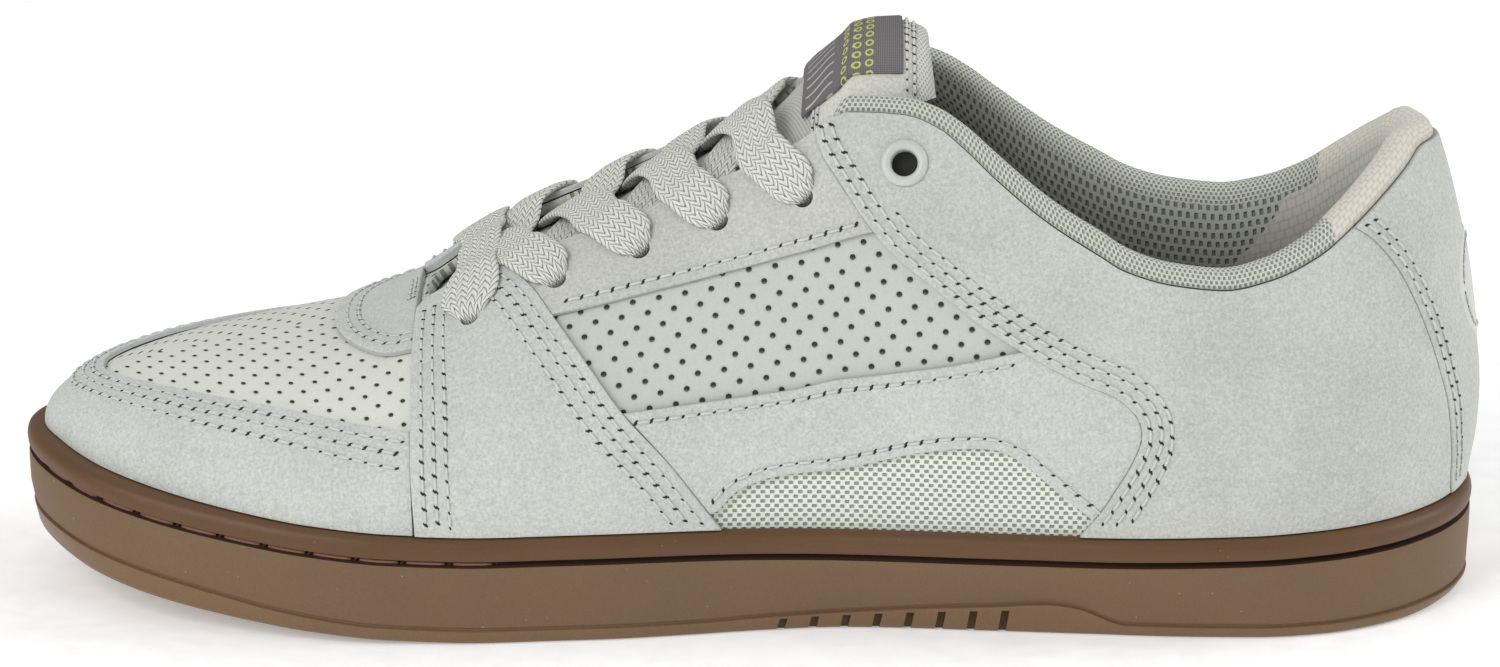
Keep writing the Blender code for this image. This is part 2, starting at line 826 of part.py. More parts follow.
def panel(name, rim, material):
    """One overlay, drawn in by half a seam."""
    drawn = []
    for turn, girth in inset_pattern(rim, HALF_GAP):
        if turn > 0.999:
            turn = 1.0
        drawn.append((min(max(turn, 0.0), 1.0), min(max(girth, -1.0), 1.0)))
    return shell(name, drawn, 0.0, -OVERLAY_WALL, material)


def build_heel():
    """The heel counter over the back seam and the plain oval patch on it."""
    suede = finish("counter_suede", 0.57, 0.58, 0.54, 0.9)
    rim = []
    for side in (1.0, -1.0):
        rows = [(side * turn_of(a), b) for a, b in COUNTER_FRONT]
        top = [(side * turn_of(a), b) for a, b in top_rows(-0.001, COUNTER_FRONT[-1][0])]
        rows += top[::-1]
        rim += rows if side > 0.0 else rows[:-1][::-1]
    shrunk_rim = []
    for turn, share in rim:
        sx, sy = scales(turn, share - 1.0)
        pull = math.copysign(COUNTER_GAP / sx, turn) if abs(turn) > 1e-6 else 0.0
        drop = HALF_GAP / sy if share > 0.5 else 0.0
        shrunk_rim.append((turn - pull, max(share - drop, 0.0)))
    counter = shell("heel_counter", shrunk_rim, 0.0, -OVERLAY_WALL, suede, True)
    oval = []
    for k in range(PATCH_SIDES):
        angle = 2.0 * math.pi * (k + 0.5) / PATCH_SIDES
        place = PATCH_HALF * math.cos(angle)
        oval.append((place, PATCH_MIDDLE + PATCH_RISE * math.sin(angle)))
    smooth_skin = finish("heel_patch_leather", 0.62, 0.63, 0.60, 0.6)
    patch = shell("heel_patch", oval, SEAM_GAP + PATCH_WALL, SEAM_GAP, smooth_skin, True)
    return counter, patch


def build_collar():
    """The padded roll over the top edge, with its lining inside."""
    knit = finish("collar_knit", 0.45, 0.47, 0.41, 0.95)
    shares = column(TOPLINE, 0)
    tops = column(TOPLINE, 1)
    last = turn_of(COLLAR_END)
    count = int(last * STATIONS)
    turns = [last] + [k / STATIONS for k in range(count, 0, -1)] + [0.0]
    stops = [(turn, -1.0) for turn in turns] + [(turn, 1.0) for turn in turns[-2::-1]]
    rings = []
    for turn, side in stops:
        share = (1.0 - math.cos(math.pi * turn)) / 2.0
        edge = float(smooth(shares, tops, share))
        fade = min((last - turn) / COLLAR_FADE, 1.0)
        fade = fade * fade * (3.0 - 2.0 * fade)
        along, across = scales(turn, side * (1.0 - edge))
        near = (1.0 - math.cos(math.pi * min(turn + 0.01, last))) / 2.0
        back = (1.0 - math.cos(math.pi * abs(turn - 0.01))) / 2.0
        tilt = (float(smooth(shares, tops, near)) - float(smooth(shares, tops, back))) * across
        steep = math.hypot(1.0, min(abs(tilt) / (0.02 * along), 1.0))
        ring = []
        for rise, depth in COLLAR_TABLE:
            up = rise * COLLAR_ROLL
            if up < 0.0:
                up = up * (COLLAR_SHORT + (1.0 - COLLAR_SHORT) * fade)
            else:
                up = up * steep
            deep = depth * COLLAR_ROLL
            if deep > COLLAR_FREE + 1e-4:
                thin = COLLAR_THIN + (1.0 - COLLAR_THIN) * fade
                deep = COLLAR_FREE + (deep - COLLAR_FREE) * thin
            ring.append(lay(turn, side * (1.0 - edge - up / across), -deep))
        rings.append(ring)
    return tube("collar", rings, knit)


def tongue_depth(row, t):
    """Depth of the tongue's outer face at a share of its half width."""
    return TONGUE_DEPTH * (row[2] + (row[3] - row[2]) * abs(t) ** 3)


def build_tongue():
    """The padded tongue and the woven label on its top."""
    cloth = finish("tongue_suede", 0.52, 0.52, 0.46, 0.9)
    places = [2.0 * k / TONGUE_COLUMNS - 1.0 for k in range(TONGUE_COLUMNS + 1)]
    rings = []
    for row in TONGUE:
        turn = turn_of(row[0])
        ring = [lay(turn, t * row[1], -tongue_depth(row, t)) for t in places]
        for t in places[::-1]:
            deep = TONGUE_RIM + (TONGUE_WALL - TONGUE_RIM) * math.sqrt(max(1.0 - t * t, 0.0))
            ring.append(lay(turn, t * row[1], -tongue_depth(row, t) - deep))
        rings.append(ring)
    tongue = tube("tongue", rings, cloth)
    woven = finish("label_weave", 0.14, 0.14, 0.14, 0.8)
    low, high = LABEL_COLUMNS
    rings = []
    for row in TONGUE[LABEL_ROWS[0]:LABEL_ROWS[1] + 1]:
        turn = turn_of(row[0])
        ring = []
        for t in places[low:high + 1]:
            ring.append(lay(turn, t * row[1], SEAM_GAP + LABEL_WALL - tongue_depth(row, t)))
        for t in places[low:high + 1][::-1]:
            ring.append(lay(turn, t * row[1], SEAM_GAP - tongue_depth(row, t)))
        rings.append(ring)
    label = tube("tongue_label", rings, woven)
    return tongue, label


def strand(path, ups, widths, name, material):
    """A flat lace along a path, as a closed band."""
    path = np.array(path)
    ups = np.array(ups)
    ahead = np.gradient(path, axis=0)
    ahead = ahead / np.linalg.norm(ahead, axis=1)[:, None]
    rings = []
    for point, way, up, width in zip(path, ahead, ups, widths):
        side = np.cross(way, up)
        side = side / np.linalg.norm(side) * LACE_HALF * width
        top = np.cross(side, way)
        top = top / np.linalg.norm(top) * LACE_THICK
        ring = []
        for k in range(LACE_SIDES):
            angle = 2.0 * math.pi * (k + 0.5) / LACE_SIDES
            out = math.copysign(abs(math.cos(angle)) ** 0.7, math.cos(angle))
            ring.append(point + side * out + top * math.sin(angle))
        rings.append(ring)
    return tube(name, rings, material)


def lifted(share, girth, lift):
    """A point at a lift from the last, and the direction away from the last."""
    turn = turn_of(share)
    point = lay(turn, girth, lift)
    skin = lay(turn, girth, lift - LACE_THICK)
    return point, (point - skin) / np.linalg.norm(point - skin)


def lace_end(hole, pitch, side):
    """The last points of a lace: over the throat's edge and over its hole.

    Args:
        hole: Share of length and share of girth of the hole.
        pitch: Share of length between this hole and the lower one.
        side: -1 on the medial side, 1 on the lateral.

    Returns:
        Points and directions, in order.
    """
    share, girth = hole
    edge = float(smooth(column(TOPLINE, 0), column(TOPLINE, 1), share))
    rows = []
    for down, back, lift in LACE_END:
        place = edge + (girth - edge) * down
        rows.append(lifted(share + back * pitch, side * (1.0 - place), lift * LACE_THICK))
    return rows


def build_laces():
    """The first bar and the four crossings of the lace."""
    cord = finish("lace_braid", 0.56, 0.56, 0.50, 0.95)
    near = lace_end(EYELETS[0], BAR_LEAN, -1.0)
    far = lace_end(EYELETS[0], BAR_LEAN, 1.0)
    middle = 0.5 * (near[0][0] + far[0][0]) + np.array([0.0, 0.0, BAR_ARCH])
    rows = near[::-1] + [(middle, near[0][1] + far[0][1])] + far
    widths = [LACE_NARROW] + [1.0] * (len(rows) - 2) + [LACE_NARROW]
    made = [strand([row[0] for row in rows], [row[1] for row in rows], widths, "lace_bar", cord)]
    for k in range(len(EYELETS) - 1):
        low, high = EYELETS[k], EYELETS[k + 1]
        pitch = low[0] - high[0]
        pair = []
        for side, layer, name in ((-1.0, 3, "lace_cross_%d" % (k + 1)), (1.0, 2, "under")):
            rows = []
            for row in CROSSING:
                rows.append(lifted(low[0] - row[0] * pitch, side * row[1], row[layer] * LACE_THICK))
            rows += lace_end(high, pitch, side)
            widths = [1.0] * (len(rows) - 1) + [LACE_NARROW]
            pair.append(strand([row[0] for row in rows], [row[1] for row in rows], widths, name, cord))
        modifier = pair[0].modifiers.new("join", "BOOLEAN")
        modifier.operation = "UNION"
        modifier.solver = "EXACT"
        modifier.object = pair[1]
        bake(pair[0])
        bpy.data.objects.remove(pair[1])
        made.append(pair[0])
    return made


def bake(target):
    """Apply a solid's modifiers to its mesh."""
    bpy.context.view_layer.update()
    graph = bpy.context.evaluated_depsgraph_get()
    mesh = bpy.data.meshes.new_from_object(target.evaluated_get(graph))
    target.modifiers.clear()
    target.data = mesh


def ring_points(inset, height, undercut, bevel):
    """One closed line of the sole, medial side from heel to toe and back."""
    shares = column(ARCH, 0)
    sides = {}
    for side, step_column, cut_column in ((-1.0, 1, 3), (1.0, 2, 4)):
        rows = []
        for share in SHARES:
            extra = 0.0
            if bevel > 0.0:
                toe = min(max(1.0 - (1.0 - share) / BEVEL_TOE, 0.0), 1.0)
                heel = min(max(1.0 - share / BEVEL_HEEL, 0.0), 1.0)
                extra = bevel * BEVEL * (toe * toe + 0.5 * heel)
            along, centre, half = shrunk(share, inset * GROOVE_DEPTH + extra)
            under = float(smooth(shares, column(ARCH, cut_column), share))
            half = max(float(half) - undercut * under * UNDERCUT, 0.0)
            level = height
            if height < 0.0:
                level = float(smooth(shares, column(ARCH, step_column), share)) - height - 1.0
            z = level * SOLE_HEIGHT + float(spring(along))
            rows.append((LENGTH / 2.0 - along, float(centre) + side * half, z))
        sides[side] = rows
    return sides[-1.0] + sides[1.0][-2:0:-1]


def last_ring(lift, height):
    """A closed line beside the foot of the last at one lift and height."""
    rows = {}
    for side, j in ((-1.0, 1), (1.0, len(LINES) - 2)):
        line = LAST_POINTS[:, j] + lift * LAST_NORMALS[:, j]
        line[:, 2] = height + spring(LENGTH / 2.0 - LAST_POINTS[:, j, 0])
        rows[side] = [tuple(point) for point in line]
    return rows[-1.0] + rows[1.0][-2:0:-1]


def plate(solid, ring):
    """Close a sole line with strips across the foot."""
    count = len(ring)
    for k in range(STATIONS):
        a, b = ring[k], ring[k + 1]
        c, d = ring[(count - k - 1) % count], ring[(count - k) % count]
        corners = []
        for vert in (a, b, c, d):
            if vert not in corners:
                corners.append(vert)
        if len(corners) > 2:
            solid.faces.new(corners)


def wrap(name, rings, material):
    """A solid of stacked closed lines with a plate at each end."""
    solid = bmesh.new()
    rows = [[solid.verts.new(point) for point in ring] for ring in rings]
    count = len(rows[0])
    for low, high in zip(rows, rows[1:]):
        for k in range(count):
            after = (k + 1) % count
            solid.faces.new((low[k], low[after], high[after], high[k]))
    plate(solid, rows[0])
    plate(solid, rows[-1])
    return make_object(name, solid, material)


def block(name, low, high, shear=0.0):
    """A box cutter, its top moved along the length by a shear."""
    rings = []
    for z, move in ((low[2], 0.0), (high[2], shear)):
        rings.append([
            (low[0] + move, low[1], z),
            (high[0] + move, low[1], z),
            (high[0] + move, high[1], z),
            (low[0] + move, high[1], z),
        ])
    return tube(name, rings, PLAIN)


def build_sole():
    """The rubber cupsole with its bead, groove, step, ribs and tread."""
    gum = finish("gum_rubber", 0.15, 0.09, 0.05, 0.6)
    rings = []
    for height, inset, undercut, bevel in WALL_ROWS:
        rings.append(ring_points(inset, height, undercut, bevel))
    cup = LIFT_BASE + SEAM_GAP
    rings.append(last_ring(cup, SOLE_HEIGHT))
    rings.append(last_ring(cup, FLOOR_HEIGHT))
    sole = wrap("sole", rings, gum)
    cutters = []
    shares = column(ARCH, 0)
    for k in range(SLOT_COUNT):
        along = SLOT_FIRST * LENGTH + k * SLOT_PITCH
        share = along / LENGTH
        _, centre, half = shrunk(share, 0.0)
        face = float(centre - half) + UNDERCUT * float(smooth(shares, column(ARCH, 3), share))
        step = float(smooth(shares, column(ARCH, 1), share)) * SOLE_HEIGHT
        x = LENGTH / 2.0 - along
        low = (x - SLOT_WIDTH / 2.0, face - CUT_PAST, -SLOT_SLANT)
        high = (x + SLOT_WIDTH / 2.0, face + SLOT_DEPTH, step * SLOT_RISE)
        cutters.append(block("slot_%d" % k, low, high, SLOT_SLANT))
    for start, pitch, count in TREADS:
        for k in range(count):
            along = start * LENGTH + k * pitch
            _, centre, half = shrunk(along / LENGTH, TREAD_EDGE)
            x = LENGTH / 2.0 - along
            lift = float(spring(along))
            low = (x - GROOVE_WIDTH / 2.0, float(centre - half), lift - CUT_PAST)
            high = (x + GROOVE_WIDTH / 2.0, float(centre + half), lift + TREAD_DEPTH)
            cutters.append(block("tread_%d_%d" % (start * 1000, k), low, high))
    cut(sole, cutters)
    insole_cloth = finish("insole_cloth", 0.20, 0.21, 0.18, 0.95)
    edge = LIFT_INNER - SEAM_GAP
    bottom = FLOOR_HEIGHT + SEAM_GAP
    insole_rings = [last_ring(edge, bottom), last_ring(edge, bottom + INSOLE_WALL)]
    insole = wrap("insole", insole_rings, insole_cloth)
    return sole, insole


def build_holes(parts):
    """Cut the lace holes and seat a grommet in each sixth hole."""
    resin = finish("grommet_resin", 0.48, 0.50, 0.46, 0.5)
    jobs = {}
    for side, word in ((-1.0, "medial"), (1.0, "lateral")):
        for k, (share, girth) in enumerate(EYELETS + (GROMMET_SPOT,)):
            turn = turn_of(share)
            place = lay(turn, side * (1.0 - girth), 0.0)
            axis = place - lay(turn, side * (1.0 - girth), LIFT_INNER)
            axis = axis / np.linalg.norm(axis)
            radius = EYELET_RADIUS if k < len(EYELETS) else GROMMET_HOLE
            names = ["upper", "eyestay_" + word]
            if k == 0:
                names = ["upper", "forefoot_panel_" + word]
            if k == len(EYELETS):
                names = ["upper", "quarter_" + word]
            for name in names:
                tool = column_at(place, axis, radius, -DRILL_DEPTH, DRILL_RISE, "hole")
                jobs.setdefault(name, []).append(tool)
            if k == len(EYELETS):
                cross = np.cross(axis, np.array([1.0, 0.0, 0.0]))
                cross = cross / np.linalg.norm(cross)
                third = np.cross(axis, cross)
                rings = []
                neck = GROMMET_HOLE - SEAM_GAP
                for radius, reach in (
                    (GROMMET_BORE, -GROMMET_DEPTH),
                    (neck, -GROMMET_DEPTH),
                    (neck, GROMMET_STAND),
                    (GROMMET_RIM, GROMMET_STAND),
                    (GROMMET_RIM, GROMMET_STAND + GROMMET_LIP * 0.5),
                    (0.5 * (GROMMET_RIM + GROMMET_BORE), GROMMET_STAND + GROMMET_LIP),
                    (GROMMET_BORE, GROMMET_STAND + GROMMET_LIP * 0.5),
                ):
                    ring = []
                    for step in range(2 * HOLE_SIDES):
                        angle = math.pi * step / HOLE_SIDES
                        spoke = math.cos(angle) * cross + math.sin(angle) * third
                        ring.append(place + reach * axis + radius * spoke)
                    rings.append(ring)
                solid = bmesh.new()
                rows = [[solid.verts.new(point) for point in ring] for ring in rings]
                for a, b in zip(rows, rows[1:] + rows[:1]):
                    for step in range(len(a)):
                        after = (step + 1) % len(a)
                        solid.faces.new((a[step], a[after], b[after], b[step]))
                make_object("grommet_" + word, solid, resin)
    for name, tools in jobs.items():
        tool = cut(parts[name], tools)
        tool.name = "holes_in_" + name


def main():
    """Build every piece of the shoe."""
    parts = {"upper": build_upper()}
    for made in build_overlays():
        parts[made.name] = made
    build_heel()
    build_collar()
    build_tongue()
    build_laces()
    build_sole()
    build_holes(parts)


main()
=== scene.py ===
"""Dress the low skateboarding shoe: lasted suede panels, knit, laces and gum sole.

Frame: metres, +Z up, toe towards -X, heel towards +X, medial side towards -Y.
A pattern point is a turn (0 heel, 1 toe) and a girth (-1 medial featherline,
0 ridge, 1 lateral featherline). A lift is a distance from the last's face.
"""

import logging
import math
from dataclasses import dataclass, field
from enum import Enum
from typing import Optional, Protocol, Sequence

import bmesh
import bpy
import numpy as np
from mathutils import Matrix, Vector

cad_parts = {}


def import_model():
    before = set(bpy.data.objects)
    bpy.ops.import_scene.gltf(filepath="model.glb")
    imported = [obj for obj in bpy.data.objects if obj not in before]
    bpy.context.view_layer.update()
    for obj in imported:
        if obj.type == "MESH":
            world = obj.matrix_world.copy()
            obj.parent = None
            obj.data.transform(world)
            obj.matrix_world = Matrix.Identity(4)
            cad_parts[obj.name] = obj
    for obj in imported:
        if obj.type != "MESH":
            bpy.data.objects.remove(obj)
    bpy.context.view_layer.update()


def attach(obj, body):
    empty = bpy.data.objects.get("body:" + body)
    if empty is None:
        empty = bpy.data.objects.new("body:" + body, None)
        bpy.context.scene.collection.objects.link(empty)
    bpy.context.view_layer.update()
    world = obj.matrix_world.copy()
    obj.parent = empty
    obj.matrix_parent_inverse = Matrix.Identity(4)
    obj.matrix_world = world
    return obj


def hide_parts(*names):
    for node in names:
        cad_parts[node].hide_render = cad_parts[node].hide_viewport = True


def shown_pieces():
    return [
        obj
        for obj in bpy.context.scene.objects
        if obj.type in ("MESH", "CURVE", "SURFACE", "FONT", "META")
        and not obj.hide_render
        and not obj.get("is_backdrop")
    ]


LOG = logging.getLogger("shoe")
MM = 0.001
FULL_TURN = 2.0 * math.pi
# Least length that a vector is divided by, and least step along a path.
TINY = 1e-12
LEAST_STEP = 1e-9
# Length of the foot and half its girth, in mm: the sheet on which creases are placed.
SHEET = (300.0, 95.0)
# Length of one unit of turn and of girth, in metres, as pattern edges are spaced.
PATTERN_SIZE = (0.30, 0.09)
# How near a cut may pass a point of a pattern, and how near points are merged.
CUT_REACH = 1e-7
MERGE_REACH = 2e-6

Rows = Sequence[tuple[float, ...]]
Colour = tuple[float, float, float]
Material = bpy.types.Material
Piece = bpy.types.Object
Array = np.ndarray
Form = bmesh.types.BMesh
Vert = bmesh.types.BMVert
Face = bmesh.types.BMFace


class Side(Enum):
    """The two sides of the shoe, with the sign of their girth."""

    MEDIAL = -1.0
    LATERAL = 1.0

    @property
    def word(self) -> str:
        """Name of the side as the nodes use it."""
        return self.name.lower()


# Tables of the last and the patterns, as in the part's source.
PLAN: Rows = (
    (0.000, -0.030, -0.030), (0.010, -0.310, 0.255), (0.030, -0.500, 0.450),
    (0.060, -0.670, 0.595), (0.100, -0.800, 0.680), (0.150, -0.882, 0.705),
    (0.225, -0.918, 0.716), (0.320, -0.891, 0.762), (0.430, -0.846, 0.827),
    (0.520, -0.863, 0.907), (0.620, -0.939, 0.979), (0.700, -0.989, 1.000),
    (0.745, -1.000, 0.990), (0.800, -0.971, 0.935), (0.850, -0.900, 0.835),
    (0.900, -0.800, 0.690), (0.950, -0.629, 0.475), (0.980, -0.429, 0.255),
    (1.000, -0.090, -0.090),
)
RIDGE: Rows = (
    (0.000, 0.923, 2.00), (0.200, 0.923, 2.00), (0.333, 0.935, 2.00),
    (0.393, 0.952, 2.00), (0.432, 0.946, 2.05), (0.466, 0.865, 2.10),
    (0.500, 0.785, 2.15), (0.524, 0.742, 2.20), (0.563, 0.692, 2.20),
    (0.604, 0.640, 2.25), (0.640, 0.600, 2.30), (0.665, 0.572, 2.30),
    (0.691, 0.535, 2.30), (0.718, 0.490, 2.30), (0.743, 0.455, 2.35),
    (0.780, 0.430, 2.35), (0.846, 0.405, 2.30), (0.900, 0.384, 2.25),
    (0.940, 0.362, 2.20), (0.970, 0.338, 2.10), (0.985, 0.314, 2.10),
    (1.000, 0.260, 2.10),
)
BACK: Rows = (
    (0.150, 0.00), (0.200, -0.10), (0.254, -0.25), (0.330, -0.31), (0.400, -0.22),
    (0.530, 0.03), (0.640, 0.40), (0.710, 0.70), (0.765, 1.00), (1.000, 2.60),
)
TOPLINE: Rows = (
    (0.000, 0.752), (0.010, 0.734), (0.022, 0.692), (0.038, 0.644), (0.066, 0.574),
    (0.100, 0.508), (0.136, 0.467), (0.169, 0.450), (0.203, 0.458), (0.239, 0.483),
    (0.256, 0.508), (0.294, 0.567), (0.327, 0.633), (0.349, 0.683), (0.368, 0.717),
    (0.391, 0.735), (0.426, 0.740), (0.453, 0.742), (0.469, 0.748), (0.520, 0.775),
    (0.574, 0.780), (0.632, 0.780), (0.669, 0.798), (0.682, 0.806), (0.706, 0.825),
    (0.721, 0.855), (0.728, 0.910), (0.730, 1.000),
)
FORE_FRONT: Rows = (
    (0.727, 0.000), (0.730, 0.180), (0.731, 0.342), (0.732, 0.605), (0.731, 0.800),
)
FORE_TIP: Rows = ((0.731, 0.800), (0.7225, 0.838), (0.706, 0.825))
FORE_REAR: Rows = (
    (0.682, 0.806), (0.672, 0.778), (0.664, 0.735), (0.650, 0.655), (0.634, 0.550),
    (0.610, 0.415), (0.584, 0.281), (0.551, 0.150), (0.528, 0.050), (0.516, 0.000),
)
TOE_EDGE: Rows = (
    (0.731, 0.305), (0.770, 0.345), (0.810, 0.392), (0.850, 0.440), (0.883, 0.490),
    (0.912, 0.560), (0.937, 0.660), (0.951, 0.770), (0.957, 0.880), (0.958, 1.000),
)
MOON_EDGE: Rows = (
    (0.732, 0.605), (0.751, 0.622), (0.768, 0.680), (0.781, 0.765), (0.789, 0.880),
    (0.791, 1.000),
)
EYESTAY_LOW: Rows = (
    (0.634, 0.550), (0.601, 0.552), (0.555, 0.554), (0.512, 0.552), (0.469, 0.533),
    (0.440, 0.516), (0.412, 0.530),
)
BAND_TOP: Rows = (
    (0.584, 0.281), (0.512, 0.281), (0.445, 0.270), (0.379, 0.290), (0.309, 0.333),
)
WINDOW: Rows = (
    (0.248, 0.000), (0.257, 0.024), (0.276, 0.064), (0.295, 0.104), (0.312, 0.138),
    (0.326, 0.153), (0.345, 0.154), (0.379, 0.142), (0.433, 0.110), (0.488, 0.100),
    (0.504, 0.083), (0.518, 0.040), (0.527, 0.000),
)
QUARTER_FRONT: Rows = (
    (0.453, 0.742), (0.449, 0.692), (0.433, 0.608), (0.412, 0.530), (0.399, 0.492),
    (0.368, 0.433), (0.338, 0.378), (0.309, 0.333), (0.270, 0.283), (0.240, 0.250),
    (0.228, 0.215), (0.226, 0.188), (0.232, 0.140), (0.243, 0.090), (0.250, 0.060),
    (0.268, 0.000),
)
COUNTER_FRONT: Rows = (
    (0.012, 0.000), (0.018, 0.108), (0.023, 0.217), (0.031, 0.342), (0.038, 0.417),
    (0.048, 0.495), (0.060, 0.545), (0.070, 0.565),
)
EYELETS: Rows = (
    (0.691, 0.616), (0.632, 0.648), (0.574, 0.664), (0.520, 0.671), (0.461, 0.630),
)
COLLAR_PROFILE: Rows = (
    (0.06, 0.10), (0.45, 0.04), (0.82, 0.20), (1.00, 0.58), (0.95, 1.08), (0.60, 1.50),
    (-0.20, 1.80), (-1.60, 1.88), (-3.00, 1.60), (-3.80, 1.10), (-4.00, 0.76),
    (-2.00, 0.76), (0.06, 0.76),
)
TONGUE_ROWS: Rows = (
    (0.752, 0.300, 0.96, 1.00), (0.735, 0.330, 0.90, 1.00), (0.712, 0.360, 0.86, 1.00),
    (0.690, 0.380, 0.96, 1.04), (0.660, 0.390, 1.10, 1.08), (0.630, 0.390, 1.14, 1.10),
    (0.595, 0.390, 1.20, 1.12), (0.560, 0.380, 1.20, 1.14), (0.524, 0.360, 1.22, 1.16),
    (0.495, 0.340, 1.22, 1.20), (0.466, 0.310, 1.12, 1.25), (0.448, 0.290, 1.38, 1.38),
    (0.431, 0.270, 1.34, 1.42), (0.414, 0.250, 1.20, 1.46), (0.398, 0.232, 1.16, 1.50),
    (0.386, 0.222, 1.08, 1.52), (0.374, 0.208, 1.16, 1.60), (0.366, 0.190, 1.50, 1.85),
)
# A crossing: place between two holes, girth, lifts of the lower and upper strand in mm.
CROSSING: Rows = (
    (-0.24, -0.172, -5.0, -5.0), (-0.17, -0.130, -4.6, -4.4), (-0.06, -0.070, -4.5, -2.9),
    (0.15, 0.015, -4.2, -1.1), (0.34, 0.100, -3.6, -0.4),
)
# A lace's end: place from the throat's edge to the hole, shift, lift in mm, width.
LACE_END: Rows = (
    (-0.25, 0.49, 0.40, 1.00), (-0.02, 0.39, 1.15, 1.00), (0.28, 0.27, 1.20, 1.00),
    (0.52, 0.16, 1.15, 1.00), (0.72, 0.09, 1.15, 0.96), (0.84, 0.05, 1.10, 0.82),
    (0.91, 0.02, 0.80, 0.62), (0.95, 0.01, -0.60, 0.50), (0.95, 0.01, -3.00, 0.42),
    (0.95, 0.01, -5.50, 0.42),
)



def column(table: Rows, index: int) -> Array:
    """One column of a table as an array."""
    return np.array([row[index] for row in table], dtype=float)


def smooth(xs: Array, ys: Array, at: Array) -> Array:
    """Interpolate a short table with limited cubic slopes.

    Args:
        xs: Rising places of the rows.
        ys: Values of the rows.
        at: Places to read.

    Returns:
        The values at those places.
    """
    at = np.asarray(at, dtype=float)
    gaps = np.diff(xs)
    rates = np.diff(ys) / gaps
    slopes = np.zeros(len(xs))
    for i in range(1, len(xs) - 1):
        if rates[i - 1] * rates[i] > 0.0:
            near = 2.0 * gaps[i] + gaps[i - 1]
            far = gaps[i] + 2.0 * gaps[i - 1]
            slopes[i] = (near + far) / (near / rates[i - 1] + far / rates[i])
    slopes[0] = rates[0]
    slopes[-1] = rates[-1]
    cell = np.clip(np.searchsorted(xs, at) - 1, 0, len(xs) - 2)
    t = (at - xs[cell]) / gaps[cell]
    rise = ys[cell] * (1.0 + 2.0 * t) * (1.0 - t) ** 2
    rise = rise + ys[cell + 1] * t * t * (3.0 - 2.0 * t)
    rise = rise + slopes[cell] * gaps[cell] * t * (1.0 - t) ** 2
    return rise + slopes[cell + 1] * gaps[cell] * t * t * (t - 1.0)


def turn_of(share: float) -> float:
    """Turn a share of the length into the even coordinate of the last."""
    return math.acos(1.0 - 2.0 * min(max(share, 0.0), 1.0)) / math.pi


def share_of(turn: Array) -> Array:
    """Share of the length at a turn."""
    return (1.0 - np.cos(math.pi * np.abs(turn))) / 2.0


def ease(low: float, high: float, at: Array) -> Array:
    """Smooth step from 0 at low to 1 at high."""
    t = np.clip((np.asarray(at, dtype=float) - low) / (high - low), 0.0, 1.0)
    return t * t * (3.0 - 2.0 * t)


def unit(vectors: Array, floor: float = TINY) -> Array:
    """Vectors brought to length one, with a floor under the lengths."""
    return vectors / np.maximum(np.linalg.norm(vectors, axis=-1, keepdims=True), floor)


def run_of(points: Array) -> Array:
    """Distance of each point from the first, along a line of points."""
    return np.concatenate(([0.0], np.cumsum(np.linalg.norm(np.diff(points, axis=0), axis=1))))


def put(name: str, data: bpy.types.ID) -> Piece:
    """Put new data into the scene as an object."""
    made = bpy.data.objects.new(name, data)
    bpy.context.scene.collection.objects.link(made)
    return made


def flowing(points: Array, count: int, closed: bool = False) -> Array:
    """Pass a smooth curve through points, even along its length.

    Args:
        points: Points of any dimension, in order.
        count: Number of points to return.
        closed: Whether the last point joins the first.

    Returns:
        The new points, ends kept.
    """
    p = np.array(points, dtype=float)
    if closed:
        p = np.vstack((p[-2:], p, p[:2]))
    steps = np.maximum(np.linalg.norm(np.diff(p, axis=0), axis=1), LEAST_STEP)
    places = np.concatenate(([0.0], np.cumsum(steps)))
    rates = np.diff(p, axis=0) / steps[:, None]
    slopes = np.vstack((rates[:1], np.zeros((len(p) - 2, p.shape[1])), rates[-1:]))
    for i in range(1, len(p) - 1):
        both = steps[i] + steps[i - 1]
        slopes[i] = (rates[i - 1] * steps[i] + rates[i] * steps[i - 1]) / both
    low, high = (places[2], places[-2]) if closed else (0.0, places[-1])
    at = np.linspace(low, high, count + 1 if closed else count)
    if closed:
        at = at[:-1]
    cell = np.clip(np.searchsorted(places, at, side="right") - 1, 0, len(steps) - 1)
    t = ((at - places[cell]) / steps[cell])[:, None]
    gap = steps[cell][:, None]
    made = p[cell] * (1.0 + 2.0 * t) * (1.0 - t) ** 2 + p[cell + 1] * t * t * (3.0 - 2.0 * t)
    made = made + slopes[cell] * gap * t * (1.0 - t) ** 2
    return made + slopes[cell + 1] * gap * t * t * (t - 1.0)


@dataclass(frozen=True)
class Crease:
    """A soft trough or ridge pressed into the upper.

    The ends are shares of the length and of the girth up from the featherline.
    Width and depth are in mm. It is shallow at its ends and reaches a little
    past the ridge.
    """

    side: Side
    start: tuple[float, float]
    end: tuple[float, float]
    width: float
    depth: float
    shallow: float = 0.35
    past_ridge: float = 0.02

    def press(self, share: Array, up: Array, girth: Array) -> Array:
        """Work out the lift that the crease adds at pattern points.

        Args:
            share: Shares of the length.
            up: Shares of the girth up from the featherline.
            girth: Signed girth shares.

        Returns:
            The lifts in metres.
        """
        size = np.array(SHEET)
        a = np.array(self.start) * size
        b = np.array(self.end) * size
        at = np.stack((share * size[0], up * size[1]), axis=-1)
        way = b - a
        along = np.clip(((at - a) @ way) / float(way @ way), 0.0, 1.0)
        off = np.linalg.norm(at - a - along[..., None] * way, axis=-1)
        swell = self.shallow + (1.0 - self.shallow) * np.sin(math.pi * along) ** 2
        fade = np.exp(-((off / self.width) ** 2)) * swell
        same = girth * self.side.value > -self.past_ridge
        return np.where(same, self.depth * MM * fade, 0.0)


